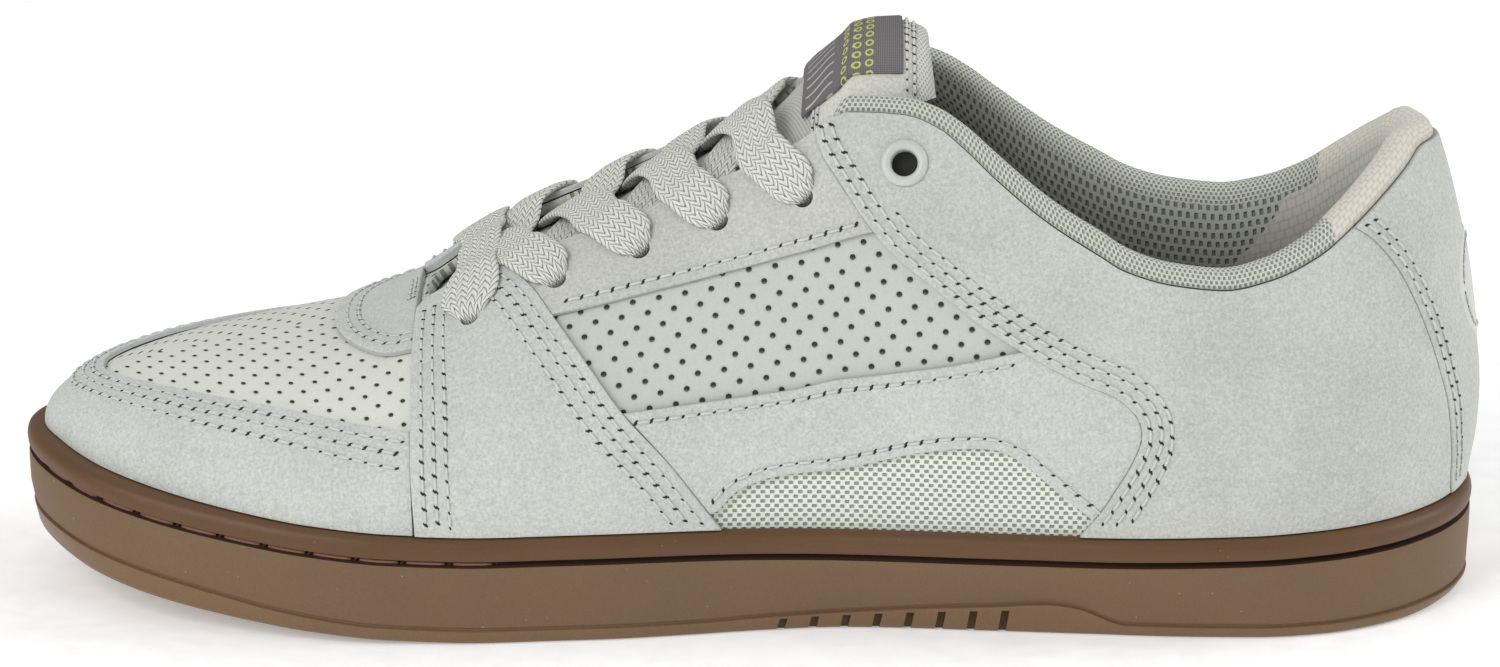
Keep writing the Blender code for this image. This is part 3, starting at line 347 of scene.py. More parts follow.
@dataclass
class Last:
    """The form under the upper, as a fine grid of points and normals."""

    length: float = 0.300
    ball_width: float = 0.105
    sole_height: float = 0.0225
    floor_height: float = 0.0120
    toe_spring: float = 0.0108
    spring_length: float = 0.100
    spring_power: float = 1.8
    seam_gap: float = 0.0003
    upper_inset: float = 0.0022
    toe_inset: float = 0.0013
    ridge_height: float = 0.130
    heel_lean: float = 0.0082
    lean_reach: float = 0.075
    lean_fade: float = 0.060
    ridge_pull: float = 0.6
    ridge_straight: float = 0.020
    stations: int = 160
    steps: int = 40
    samples: int = 160
    skirt: float = 0.1
    creases: tuple[Crease, ...] = (
        Crease(Side.MEDIAL, (0.790, 0.20), (0.735, 0.62), 9.0, -0.35),
        Crease(Side.MEDIAL, (0.690, 0.16), (0.705, 0.46), 12.0, -0.45),
        Crease(Side.MEDIAL, (0.655, 0.30), (0.640, 0.10), 7.0, 0.30),
        Crease(Side.MEDIAL, (0.500, 0.20), (0.345, 0.24), 6.0, 0.35),
        Crease(Side.MEDIAL, (0.560, 0.40), (0.380, 0.40), 12.0, -0.30),
        Crease(Side.MEDIAL, (0.190, 0.08), (0.110, 0.36), 16.0, -0.60),
        Crease(Side.MEDIAL, (0.260, 0.44), (0.150, 0.36), 9.0, 0.35),
        Crease(Side.MEDIAL, (0.095, 0.10), (0.080, 0.40), 8.0, 0.30),
        Crease(Side.MEDIAL, (0.340, 0.62), (0.260, 0.42), 8.0, -0.30),
        Crease(Side.LATERAL, (0.790, 0.20), (0.735, 0.62), 9.0, -0.35),
        Crease(Side.LATERAL, (0.690, 0.20), (0.700, 0.50), 12.0, -0.40),
        Crease(Side.LATERAL, (0.540, 0.40), (0.390, 0.38), 12.0, -0.30),
        Crease(Side.LATERAL, (0.190, 0.10), (0.120, 0.36), 15.0, -0.50),
    )
    lines: Array = field(init=False)
    points: Array = field(init=False)
    normals: Array = field(init=False)
    along: Array = field(init=False)
    across: Array = field(init=False)
    half_girth: Array = field(init=False)

    def __post_init__(self) -> None:
        """Work out the grid once, with normals that point out of the shoe."""
        half = np.linspace(1.0, 0.0, self.steps + 1)
        girths = np.concatenate((-half, half[-2::-1]))
        self.lines = np.concatenate(([-1.0 - self.skirt], girths, [1.0 + self.skirt]))
        turns = np.linspace(0.0, 1.0, self.stations + 1)
        grid = np.stack([self.section(float(share), girths) for share in share_of(turns)])
        grid[-1] = grid[-1, 0]
        middle = self.steps
        ahead = np.gradient(grid, axis=0)
        ahead[0] = grid[1] - grid[1, ::-1]
        across = np.gradient(grid, axis=1)
        across[:, middle] = grid[:, middle + 1] - grid[:, middle - 1]
        across[:, 0] = (0.0, 0.0, 1.0)
        across[:, -1] = (0.0, 0.0, -1.0)
        normals = unit(np.cross(across, ahead))
        for i in range(1, self.stations):
            core = grid[i].mean(axis=0)
            if np.sum(normals[i, :middle] * (grid[i, :middle] - core)) < 0.0:
                normals[i] *= -1.0
        normals[0, :, 1] = 0.0
        normals[0, middle] = (0.5, 0.0, 1.0)
        normals[0] *= np.sign(normals[0, :, 0])[:, None]
        normals[0] = unit(normals[0])
        normals[-1] = (-1.0, 0.0, 0.0)
        foot = grid[:, [0, -1]] - np.array([0.0, 0.0, self.sole_height - self.floor_height])
        flat = unit(normals[:, [0, -1]] * np.array([1.0, 1.0, 0.0]))
        normals[:, [0, -1]] = flat
        self.points = np.concatenate((foot[:, :1], grid, foot[:, 1:]), axis=1)
        self.normals = np.concatenate((flat[:, :1], normals, flat[:, 1:]), axis=1)
        self.along = np.linalg.norm(np.gradient(self.points, axis=0), axis=2) * self.stations
        gaps = np.gradient(self.lines)
        self.across = np.linalg.norm(np.gradient(self.points, axis=1), axis=2) / gaps
        halves = np.diff(grid[:, :middle + 1], axis=1)
        self.half_girth = np.linalg.norm(halves, axis=2).sum(axis=1)

    def spring(self, along: Array) -> Array:
        """Height of the sole's underside at a distance from the heel."""
        ahead = np.clip((along - (self.length - self.spring_length)) / self.spring_length, 0.0, 1.0)
        return self.toe_spring * ahead ** self.spring_power

    def shrunk(self, share: Array, inset: Array) -> tuple[Array, ...]:
        """Read the plan of the last, drawn in by an inset.

        Args:
            share: Shares of the length.
            inset: Distance inside the sole's outline.

        Returns:
            Distance from the heel, centre and half width.
        """
        shares = column(PLAN, 0)
        medial = column(PLAN, 1) * self.ball_width / 2.0
        lateral = column(PLAN, 2) * self.ball_width / 2.0
        centre = smooth(shares, (medial + lateral) / 2.0, share)
        squared = smooth(shares, ((lateral - medial) / 2.0) ** 2, share)
        half = np.sqrt(np.maximum(squared, 0.0))
        pull = inset * np.minimum(1.0, half / (4.0 * np.abs(inset) + 1e-9))
        return inset + share * (self.length - 2.0 * inset), centre, np.maximum(half - pull, 0.0)

    def section(self, share: float, girths: Array) -> Array:
        """Work out one section of the last.

        Args:
            share: Share of the length.
            girths: Signed girth shares.

        Returns:
            A point for each girth share.
        """
        inset = self.upper_inset + self.toe_inset * float(ease(0.80, 0.95, share))
        along, centre, half = self.shrunk(share, inset)
        foot = self.sole_height + self.seam_gap + self.spring(along)
        feet = self.sole_height + self.seam_gap + self.spring(column(RIDGE, 0) * self.length)
        squares = np.maximum(column(RIDGE, 1) * self.ridge_height - feet, 0.0) ** 2
        rise = math.sqrt(max(float(smooth(column(RIDGE, 0), squares, share)), 1e-10))
        power = 2.0 / float(smooth(column(RIDGE, 0), column(RIDGE, 2), share))
        narrow = 1.0 - min(float(half) / self.ridge_straight, 1.0)
        middle = centre * (self.ridge_pull + (1.0 - self.ridge_pull) * narrow * narrow)
        turn = np.linspace(0.0, math.pi / 2.0, self.samples)
        out = np.maximum(np.cos(turn), 0.0) ** power
        out[-1] = 0.0
        up = np.sin(turn) ** power
        made = np.zeros((len(girths), 3))
        for side in (-1.0, 1.0):
            y = middle * (1.0 - out) + (centre + side * half) * out
            z = foot + rise * up
            steps = np.concatenate(([0.0], np.cumsum(np.hypot(np.diff(y), np.diff(z)))))
            here = (girths * side > 0.0) | ((girths == 0.0) & (side < 0.0))
            reach = np.maximum(1.0 - np.abs(girths[here]), 0.0) * steps[-1]
            made[here, 1] = np.interp(reach, steps, y)
            made[here, 2] = np.interp(reach, steps, z)
        fade = float(ease(0.0, 1.0, (self.lean_reach - along) / self.lean_fade))
        heights = column(BACK, 0) * self.ridge_height
        leans = column(BACK, 1) * self.heel_lean
        made[:, 0] = self.length / 2.0 - along - fade * smooth(heights, leans, made[:, 2])
        return made

    def _cell(self, turn: Array, girth: Array) -> tuple[Array, ...]:
        """Find pattern points on the grid.

        Args:
            turn: Turns of the points.
            girth: Their signed girth shares.

        Returns:
            Row, column and the two weights in each point's cell.
        """
        turn = np.abs(turn)
        i = np.clip((turn * self.stations).astype(int), 0, self.stations - 1)
        j = np.clip(np.searchsorted(self.lines, girth, side="right") - 1, 0, len(self.lines) - 2)
        a = turn * self.stations - i
        b = (girth - self.lines[j]) / (self.lines[j + 1] - self.lines[j])
        return i, j, a, b

    def read(self, field_: Array, turn: Array, girth: Array) -> Array:
        """Read a field of the grid between its lines.

        Args:
            field_: Values or vectors on the grid.
            turn: Turns of the points.
            girth: Their signed girth shares.

        Returns:
            The values at those points.
        """
        i, j, a, b = self._cell(turn, girth)
        if field_.ndim == 3:
            a, b = a[..., None], b[..., None]
        low = field_[i, j] * (1.0 - b) + field_[i, j + 1] * b
        high = field_[i + 1, j] * (1.0 - b) + field_[i + 1, j + 1] * b
        return low * (1.0 - a) + high * a

    def relief(self, turn: Array, girth: Array) -> Array:
        """Add up the creases at pattern points.

        Args:
            turn: Turns of the points.
            girth: Their signed girth shares.

        Returns:
            The lift that the creases add.
        """
        share = share_of(turn)
        up = 1.0 - np.abs(girth)
        made = np.zeros(np.shape(share))
        for crease in self.creases:
            made = made + crease.press(share, up, girth)
        return made * ease(0.02, 0.10, up)

    def lay(self, turn: Array, girth: Array, lift: Array) -> Array:
        """Place pattern points on the last.

        Args:
            turn: Turns of the points.
            girth: Their signed girth shares.
            lift: Their distances from the last's face.

        Returns:
            The places.
        """
        turn = np.asarray(turn, dtype=float)
        girth = np.asarray(girth, dtype=float)
        up = np.asarray(lift, dtype=float) + self.relief(turn, girth)
        out = self.read(self.normals, turn, girth)
        return self.read(self.points, turn, girth) + up[..., None] * out

    def skin(self, turn: Array, girth: Array, lift: float) -> tuple[Array, Array]:
        """Place pattern points at one lift, with the way out of the shoe there.

        Args:
            turn: Turns of the points.
            girth: Their signed girth shares.
            lift: Their distance from the last's face.

        Returns:
            The places and a unit vector at each.
        """
        lifts = np.full(len(turn), lift)
        places = self.lay(turn, girth, lifts)
        return places, unit(self.lay(turn, girth, lifts + MM) - places)

    def scales(self, turn: Array, girth: Array) -> tuple[Array, Array]:
        """Measure the grid at pattern points.

        Args:
            turn: Turns of the points.
            girth: Their signed girth shares.

        Returns:
            The lengths of one unit of turn and of one unit of girth.
        """
        girth = np.clip(girth, -0.999, 0.999)
        along = np.maximum(self.read(self.along, turn, girth), 0.02)
        return along, np.maximum(self.read(self.across, turn, girth), 0.01)

    def lie(self, turn: Array, girth: Array) -> Array:
        """Measure how far along and up the skin pattern points lie.

        Args:
            turn: Turns of the points.
            girth: Their signed girth shares.

        Returns:
            The pattern places that finishes read, in millimetres.
        """
        turn = np.asarray(turn, dtype=float)
        girth = np.asarray(girth, dtype=float)
        x = self.read(self.points, turn, girth)[..., 0]
        rows = np.arange(self.stations + 1)
        tall = np.interp(np.abs(turn) * self.stations, rows, self.half_girth)
        return np.stack((x / MM, (1.0 - np.abs(girth)) * tall / MM, girth * 0.0), axis=-1)


def turned(table: Rows, side: float, flip: bool = False) -> Array:
    """Pattern points of a one-sided edge table."""
    made = np.array([(turn_of(row[0]), side * (1.0 - row[1])) for row in table])
    return made[::-1] if flip else made


def dense(points: Array, spacing: float = 0.0045) -> Array:
    """Smooth one pattern edge and space its points evenly.

    Args:
        points: Pattern points of the edge.
        spacing: Three times the distance between the new points, in metres.

    Returns:
        The new pattern points.
    """
    stretch = np.array(PATTERN_SIZE)
    scaled = points * stretch
    size = float(np.linalg.norm(np.diff(scaled, axis=0), axis=1).sum())
    return flowing(scaled, max(int(size / spacing * 3.0), 2)) / stretch


def offset_line(last: Last, line: Array, distance: float) -> Array:
    """Shift a pattern line to its left.

    Args:
        last: The form that gives the scale.
        line: Pattern points of the line.
        distance: The shift in metres.

    Returns:
        The shifted pattern points.
    """
    along, across = last.scales(np.abs(line[:, 0]), line[:, 1])
    scale = np.stack((along, across), axis=-1)
    way = unit(np.gradient(line, axis=0) * scale)
    left = np.stack((-way[:, 1], way[:, 0]), axis=-1)
    return line + left * distance / scale


def cut_lines(form: Form, cuts: Sequence[tuple[float, int]]) -> None:
    """Cut a flat pattern along straight lines, so that it can bend to the last.

    Args:
        form: The flat pattern.
        cuts: For each line its place and its axis: 0 for turn, 1 for girth.
    """
    for place, axis in cuts:
        spot = (place, 0.0, 0.0) if axis == 0 else (0.0, place, 0.0)
        facing = (1.0, 0.0, 0.0) if axis == 0 else (0.0, 1.0, 0.0)
        bmesh.ops.bisect_plane(form, geom=form.verts[:] + form.edges[:] + form.faces[:],
                               dist=CUT_REACH, plane_co=spot, plane_no=facing)
    bmesh.ops.triangulate(form, faces=[face for face in form.faces if len(face.verts) > 4])


def thicken(form: Form) -> tuple[list[Vert], list[Vert], set[Face]]:
    """Give a flat pattern a second face for the wall's outside.

    Args:
        form: The flat pattern.

    Returns:
        Vertices of the inside, vertices of the outside and faces of the outside.
    """
    inner = form.verts[:]
    raised = bmesh.ops.extrude_face_region(form, geom=form.faces[:], use_keep_orig=True)["geom"]
    outer = [item for item in raised if isinstance(item, Vert)]
    return inner, outer, {item for item in raised if isinstance(item, Face)}


def join_rows(form: Form, low: Sequence[Vert], high: Sequence[Vert], index: int = 0) -> None:
    """Join two closed rows of vertices by four-sided faces.

    Args:
        form: The bmesh to add to.
        low: The first row.
        high: The second row, of the same count.
        index: Material index of the faces.
    """
    for k in range(len(low)):
        after = (k + 1) % len(low)
        form.faces.new((low[k], low[after], high[after], high[k])).material_index = index


class Maker:
    """Turns bmeshes into placed, named and dressed pieces."""

    @staticmethod
    def keep(name: str, form: Form, finishes: Sequence[Material], slot: str,
             nodes: Sequence[str] = ()) -> Piece:
        """Store a bmesh as a piece that rides on the shoe.

        Args:
            name: Name of the piece.
            form: The bmesh, which is freed.
            finishes: Materials by index.
            slot: Not used.
            nodes: CAD nodes that the piece stands for.

        Returns:
            The new object.
        """
        bmesh.ops.remove_doubles(form, verts=form.verts, dist=MERGE_REACH)
        bmesh.ops.dissolve_degenerate(form, dist=CUT_REACH, edges=form.edges)
        bmesh.ops.recalc_face_normals(form, faces=form.faces)
        mesh = bpy.data.meshes.new(name)
        for face in form.faces:
            face.smooth = True
        form.to_mesh(mesh)
        form.free()
        for finish in finishes:
            mesh.materials.append(finish)
        made = put(name, mesh)
        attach(made, "root")
        if nodes:
            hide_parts(*nodes)
        return made

    @staticmethod
    def punch(target: Piece, tools: Sequence[Piece]) -> None:
        """Cut tools out of a piece and remove them.

        Args:
            target: The piece.
            tools: The cutters.
        """
        for tool in tools:
            cut = target.modifiers.new("punch", "BOOLEAN")
            cut.operation = "DIFFERENCE"
            cut.solver = "EXACT"
            cut.object = tool
        bpy.context.view_layer.update()
        graph = bpy.context.evaluated_depsgraph_get()
        mesh = bpy.data.meshes.new_from_object(target.evaluated_get(graph))
        target.modifiers.clear()
        target.data = mesh
        for tool in tools:
            bpy.data.objects.remove(tool)

    @staticmethod
    def tool(form: Form) -> Piece:
        """Store a bmesh as a hidden cutter.

        Args:
            form: The bmesh, which is freed.

        Returns:
            The cutter.
        """
        bmesh.ops.recalc_face_normals(form, faces=form.faces)
        mesh = bpy.data.meshes.new("tool")
        form.to_mesh(mesh)
        form.free()
        made = put("tool", mesh)
        made.hide_render = True
        return made


def split_sharp(piece: Piece, degrees: float) -> None:
    """Mark edges over an angle as sharp, so that faces shade crisply.

    Args:
        piece: The piece.
        degrees: The angle.
    """
    form = bmesh.new()
    form.from_mesh(piece.data)
    limit = math.radians(degrees)
    for edge in form.edges:
        edge.smooth = not (len(edge.link_faces) == 2 and edge.calc_face_angle(0.0) > limit)
    form.to_mesh(piece.data)
    form.free()


def sweep(form: Form, rings: Array, loop: bool, capped: bool,
          lies: Optional[Array] = None) -> None:
    """Skin a row of equal rings of points.

    Args:
        form: The bmesh to add to.
        rings: Points by ring and place on the ring.
        loop: Whether the last ring joins the first.
        capped: Whether each end gets a face.
        lies: The same shape of pattern places, kept as an attribute.
    """
    vectors = form.verts.layers.float_vector
    layer = vectors.get("lie") or vectors.new("lie")
    rows = []
    for i, ring in enumerate(rings):
        row = [form.verts.new(point) for point in ring]
        if lies is not None:
            for vert, lie in zip(row, lies[i]):
                vert[layer] = lie
        rows.append(row)
    for low, high in list(zip(rows, rows[1:])) + ([(rows[-1], rows[0])] if loop else []):
        join_rows(form, low, high)
    if capped:
        form.faces.new(rows[0])
        form.faces.new(rows[-1])


@dataclass
class Panel:
    """One lasted panel, cut flat, laid on the last, with a rounded cut edge.

    Around the heel the pattern's first value is negative on the lateral side
    and its second value is the share of the girth up from the featherline.
    """

    name: str
    rim: Array
    lift: float
    wall: float
    around_heel: bool = False
    edge_round: float = 0.40 * MM
    drops: tuple[tuple[float, float], ...] = ((0.0, 1.0), (0.16, 0.46), (0.45, 0.16), (1.0, 0.0))
    turn_lines: int = 112
    girth_lines: int = 34
    least_miter: float = 0.45
    sharp_edge: float = 62.0

    def place(self, last: Last, flat: Array, lift: Array) -> Array:
        """Place flat pattern points on the last.

        Args:
            last: The form.
            flat: The pattern points.
            lift: Their distances from the last's face.

        Returns:
            The places.
        """
        turn, girth = flat[:, 0], flat[:, 1]
        if self.around_heel:
            girth = (girth - 1.0) * np.where(turn >= 0.0, 1.0, -1.0)
        return last.lay(turn, girth, lift)

    def _rings(self, last: Last) -> list[Array]:
        """Draw the rim and the lines inside it where the edge rounds over.

        Args:
            last: The form that gives the scale.

        Returns:
            Closed lines of flat pattern points, from the rim inwards.
        """
        rim = self.rim
        after = np.roll(rim, -1, axis=0)
        area = float(np.sum(rim[:, 0] * after[:, 1] - after[:, 0] * rim[:, 1]))
        girth = rim[:, 1] - 1.0 if self.around_heel else rim[:, 1]
        along, across = last.scales(np.abs(rim[:, 0]), girth)
        scale = np.stack((along, across), axis=-1)
        inward = math.copysign(1.0, area)
        one = unit((rim - np.roll(rim, 1, axis=0)) * scale)
        two = unit((after - rim) * scale)
        bend = np.stack((-one[:, 1] - two[:, 1], one[:, 0] + two[:, 0]), axis=-1) * inward
        bend = unit(bend, LEAST_STEP)
        straight = np.stack((-one[:, 1], one[:, 0]), axis=-1) * inward
        miter = 1.0 / np.maximum(np.sum(bend * straight, axis=1), self.least_miter)
        fixed = (rim[:, 1] < 1e-4) if self.around_heel else (np.abs(rim[:, 1]) > 0.9999)
        fixed = fixed | (rim[:, 0] > 0.9999)
        inset = np.where(fixed, 0.0, miter) * self.edge_round
        return [rim + bend * (inset * reach)[:, None] / scale for reach, _ in self.drops]

    def build(self, last: Last, maker: Maker, finishes: Sequence[Material], slot: str,
              nodes: Sequence[str]) -> Piece:
        """Cut, last and dress the panel.

        Args:
            last: The form.
            maker: Keeps the piece.
            finishes: The face's finish and the cut edge's.
            slot: The record's material slot.
            nodes: CAD nodes that the panel stands for.

        Returns:
            The new piece.
        """
        form = bmesh.new()
        drop = form.verts.layers.float.new("drop")
        self._draw(form, self._rings(last), drop)
        inner, outer, outside = thicken(form)
        inside = set(inner)
        for face in form.faces:
            if face not in outside and not all(vert in inside for vert in face.verts):
                face.material_index = 1
        for verts, floor in ((inner, True), (outer, False)):
            flat = np.array([vert.co[:2] for vert in verts])
            falls = np.array([vert[drop] for vert in verts]) * self.edge_round
            lifts = np.full(len(verts), self.lift - self.wall) if floor else self.lift - falls
            for vert, point in zip(verts, self.place(last, flat, lifts)):
                vert.co = point
        piece = maker.keep(self.name, form, finishes, slot, nodes)
        split_sharp(piece, self.sharp_edge)
        return piece

    def _draw(self, form: Form, rings: Sequence[Array], drop: bmesh.types.BMLayerItem) -> None:
        """Draw the flat pattern with its edge lines, and cut it so that it can bend.

        Args:
            form: The bmesh to add to.
            rings: Closed lines of pattern points, from the rim inwards.
            drop: The layer that keeps how far each point falls at the edge.
        """
        rows: list[list[Vert]] = []
        for k, ring in enumerate(rings):
            row = []
            for i, (x, y) in enumerate(ring):
                if k and np.allclose(ring[i], rings[0][i], atol=1e-9):
                    row.append(rows[0][i])
                    continue
                vert = form.verts.new((x, y, 0.0))
                moved = not np.allclose(rings[1][i], rings[0][i], atol=1e-9)
                vert[drop] = self.drops[k][1] if moved else 0.0
                row.append(vert)
            rows.append(row)
        for low, high in zip(rows, rows[1:]):
            for i in range(len(low)):
                j = (i + 1) % len(low)
                corners = []
                for vert in (low[i], low[j], high[j], high[i]):
                    if vert not in corners:
                        corners.append(vert)
                if len(corners) > 2:
                    form.faces.new(corners)
        form.faces.new(rows[-1])
        x_low, y_low = self.rim.min(axis=0)
        x_high, y_high = self.rim.max(axis=0)
        cuts = [(k / self.turn_lines, 0) for k in range(-self.turn_lines, self.turn_lines + 1)]
        cuts = [cut for cut in cuts if x_low < cut[0] < x_high]
        ups = [(k / self.girth_lines, 1) for k in range(-self.girth_lines, self.girth_lines + 1)]
        cuts += [cut for cut in ups if y_low < cut[0] < y_high]
        cut_lines(form, cuts)


# A stitch: place between its two holes and rise of the thread in mm.
STITCH: Rows = ((0.10, -0.10), (0.24, 0.15), (0.50, 0.24), (0.76, 0.15), (0.90, -0.10))


@dataclass
class Seam:
    """Rows of stitches along a pattern line, pale thread between stitch holes painted near black as
    shade.
    """

    pitch: float = 3.25 * MM
    thread: float = 0.26 * MM
    thread_wide: float = 1.25
    thread_sides: int = 5
    hole: float = 0.40 * MM
    hole_long: float = 1.5
    hole_thin: float = 0.70
    hole_sides: int = 8
    slant: float = 0.6
    probe: float = 0.3 * MM
    verts: list[Array] = field(default_factory=list)
    faces: list[tuple[list[int], int]] = field(default_factory=list)
    total: int = 0

    def _add(self, points: Array, faces: Sequence[Sequence[int]], index: int) -> None:
        """Add one small form to the joined mesh.

        Args:
            points: Its points.
            faces: Its faces, by its own points.
            index: Material index of the faces.
        """
        self.verts.append(points)
        self.faces += [([k + self.total for k in face], index) for face in faces]
        self.total += len(points)

    def sew(self, path: Array, ups: Array, pitch: Optional[float] = None) -> None:
        """Sew a row along points of the skin.

        Args:
            path: Points on the face of the panel, in order.
            ups: The face's normals there.
            pitch: Length of one stitch, if not the usual one.
        """
        steps = run_of(path)
        pitch = pitch or self.pitch
        count = int(steps[-1] / pitch)
        if count < 1:
            return
        marks = np.arange(count + 1) * pitch + (steps[-1] - count * pitch) / 2.0

        def read(values: Array, at: Array) -> Array:
            """Read a row of vectors at distances along the path."""
            return np.stack([np.interp(at, steps, values[:, axis]) for axis in range(3)], axis=-1)

        for index, mark in enumerate(marks):
            point, ahead, behind = read(path, mark + self.probe * np.array([0.0, 1.0, -1.0]))
            way = ahead - point if mark + self.probe < steps[-1] else point - behind
            odd = math.sin(index * 12.9898 + 4.1 * len(marks))
            self._pierce(point, unit(way, LEAST_STEP), read(ups, np.array([mark]))[0], odd)
        for start, end in zip(marks, marks[1:]):
            at = start + (end - start) * column(STITCH, 0)
            self._pull(read(path, at), read(ups, at))

    def _pierce(self, point: Array, way: Array, up: Array, odd: float) -> None:
        """Lay a slanted oval of painted shade, near black, over one stitch hole on the skin.

        Args:
            point: The hole's place.
            way: Unit vector along the row.
            up: Unit vector out of the skin.
            odd: From -1 to 1, how far this hole departs from the usual one.
        """
        grow = self.hole * (1.0 + 0.28 * odd)
        tilt = self.slant + 0.25 * odd
        side = np.cross(up, way)
        lean = way * math.cos(tilt) + side * math.sin(tilt)
        thin = side * math.cos(tilt) - way * math.sin(tilt)
        turns = np.linspace(0.0, FULL_TURN, self.hole_sides, endpoint=False)
        ring = point + np.outer(np.cos(turns) * grow * self.hole_long, lean)
        ring = ring + np.outer(np.sin(turns) * grow * self.hole_thin, thin)
        ring = np.vstack((ring + up * 0.07 * MM, point + up * 0.02 * MM))
        n = self.hole_sides
        self._add(ring, [(k, (k + 1) % n, n) for k in range(n)], 1)

    def _pull(self, points: Array, ups: Array) -> None:
        """Lay the thread of one stitch between two holes.

        Args:
            points: Places on the skin, one for each row of the stitch's table.
            ups: The way out of the skin there.
        """
        sides = np.cross(ups, unit(np.gradient(points, axis=0), LEAST_STEP))
        turns = np.linspace(0.0, FULL_TURN, self.thread_sides, endpoint=False)
        rings = []
        for point, up, side, rise in zip(points, ups, sides, column(STITCH, 1) * MM):
            round_ = np.outer(np.cos(turns), side) * self.thread_wide + np.outer(np.sin(turns), up)
            rings.append(point + up * rise + self.thread * round_)
        n, last = self.thread_sides, len(STITCH) - 1
        faces = [(r * n + k, r * n + (k + 1) % n, (r + 1) * n + (k + 1) % n, (r + 1) * n + k)
                 for r in range(last) for k in range(n)]
        faces += [tuple(range(n - 1, -1, -1)), tuple(range(last * n, len(STITCH) * n))]
        self._add(np.vstack(rings), faces, 0)

    def sew_on(self, last: Last, line: Array, lift: float) -> None:
        """Sew a row along a pattern line at a lift."""
        self.sew(*last.skin(line[:, 0], line[:, 1], lift))

    def finish(self, name: str, finishes: Sequence[Material], slot: str) -> Piece:
        """Join the rows as one piece.

        Args:
            name: Name of the piece.
            finishes: The thread's finish and the painted shade of the holes.
            slot: Not used.

        Returns:
            The new piece.
        """
        mesh = bpy.data.meshes.new(name)
        mesh.from_pydata(np.vstack(self.verts).tolist(), [], [face for face, _ in self.faces])
        mesh.polygons.foreach_set("material_index", [index for _, index in self.faces])
        mesh.polygons.foreach_set("use_smooth", [True] * len(self.faces))
        for finish in finishes:
            mesh.materials.append(finish)
        piece = put(name, mesh)
        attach(piece, "root")
        return piece


class Signal:
    """A socket of a material, with arithmetic on its value."""

    def __init__(self, recipe: "Recipe", socket: bpy.types.NodeSocket) -> None:
        """Wrap a socket of a recipe's tree."""
        self.recipe = recipe
        self.socket = socket

    def _math(self, operation: str, *values: object, first: bool = True) -> "Signal":
        """Add one Math node on this value and others.

        Args:
            operation: The node's operation.
            values: The other values or signals.
            first: Whether this value comes before them.

        Returns:
            The result.
        """
        order = (self, *values) if first else (*values, self)
        inputs = dict(enumerate(order))
        return self.recipe.node("ShaderNodeMath", {"operation": operation}, inputs).out()

    def out(self) -> "Signal":
        """The signal itself, so that nodes and signals read alike."""
        return self

    def __add__(self, other: object) -> "Signal":
        """Sum."""
        return self._math("ADD", other)

    __radd__ = __add__

    def __mul__(self, other: object) -> "Signal":
        """Product."""
        return self._math("MULTIPLY", other)

    __rmul__ = __mul__

    def __sub__(self, other: object) -> "Signal":
        """Difference."""
        return self._math("SUBTRACT", other)

    def __rsub__(self, other: object) -> "Signal":
        """Difference from another value."""
        return self._math("SUBTRACT", other, first=False)

    def __truediv__(self, other: object) -> "Signal":
        """Quotient."""
        return self._math("DIVIDE", other)

    def call(self, operation: str, *values: object) -> "Signal":
        """Any other Math operation."""
        return self._math(operation, *values)

    def step(self, low: float, high: float) -> "Signal":
        """Smooth step from 0 at low to 1 at high."""
        settings = {"interpolation_type": "SMOOTHSTEP", "clamp": True}
        inputs = {"Value": self, "From Min": low, "From Max": high}
        return self.recipe.node("ShaderNodeMapRange", settings, inputs).out()


class Built:
    """A node that was added, with its outputs as signals."""

    def __init__(self, recipe: "Recipe", node: bpy.types.Node) -> None:
        """Wrap a node of a recipe's tree."""
        self.recipe = recipe
        self.node = node

    def out(self, name: object = 0) -> Signal:
        """One output, by name or number."""
        return Signal(self.recipe, self.node.outputs[name])


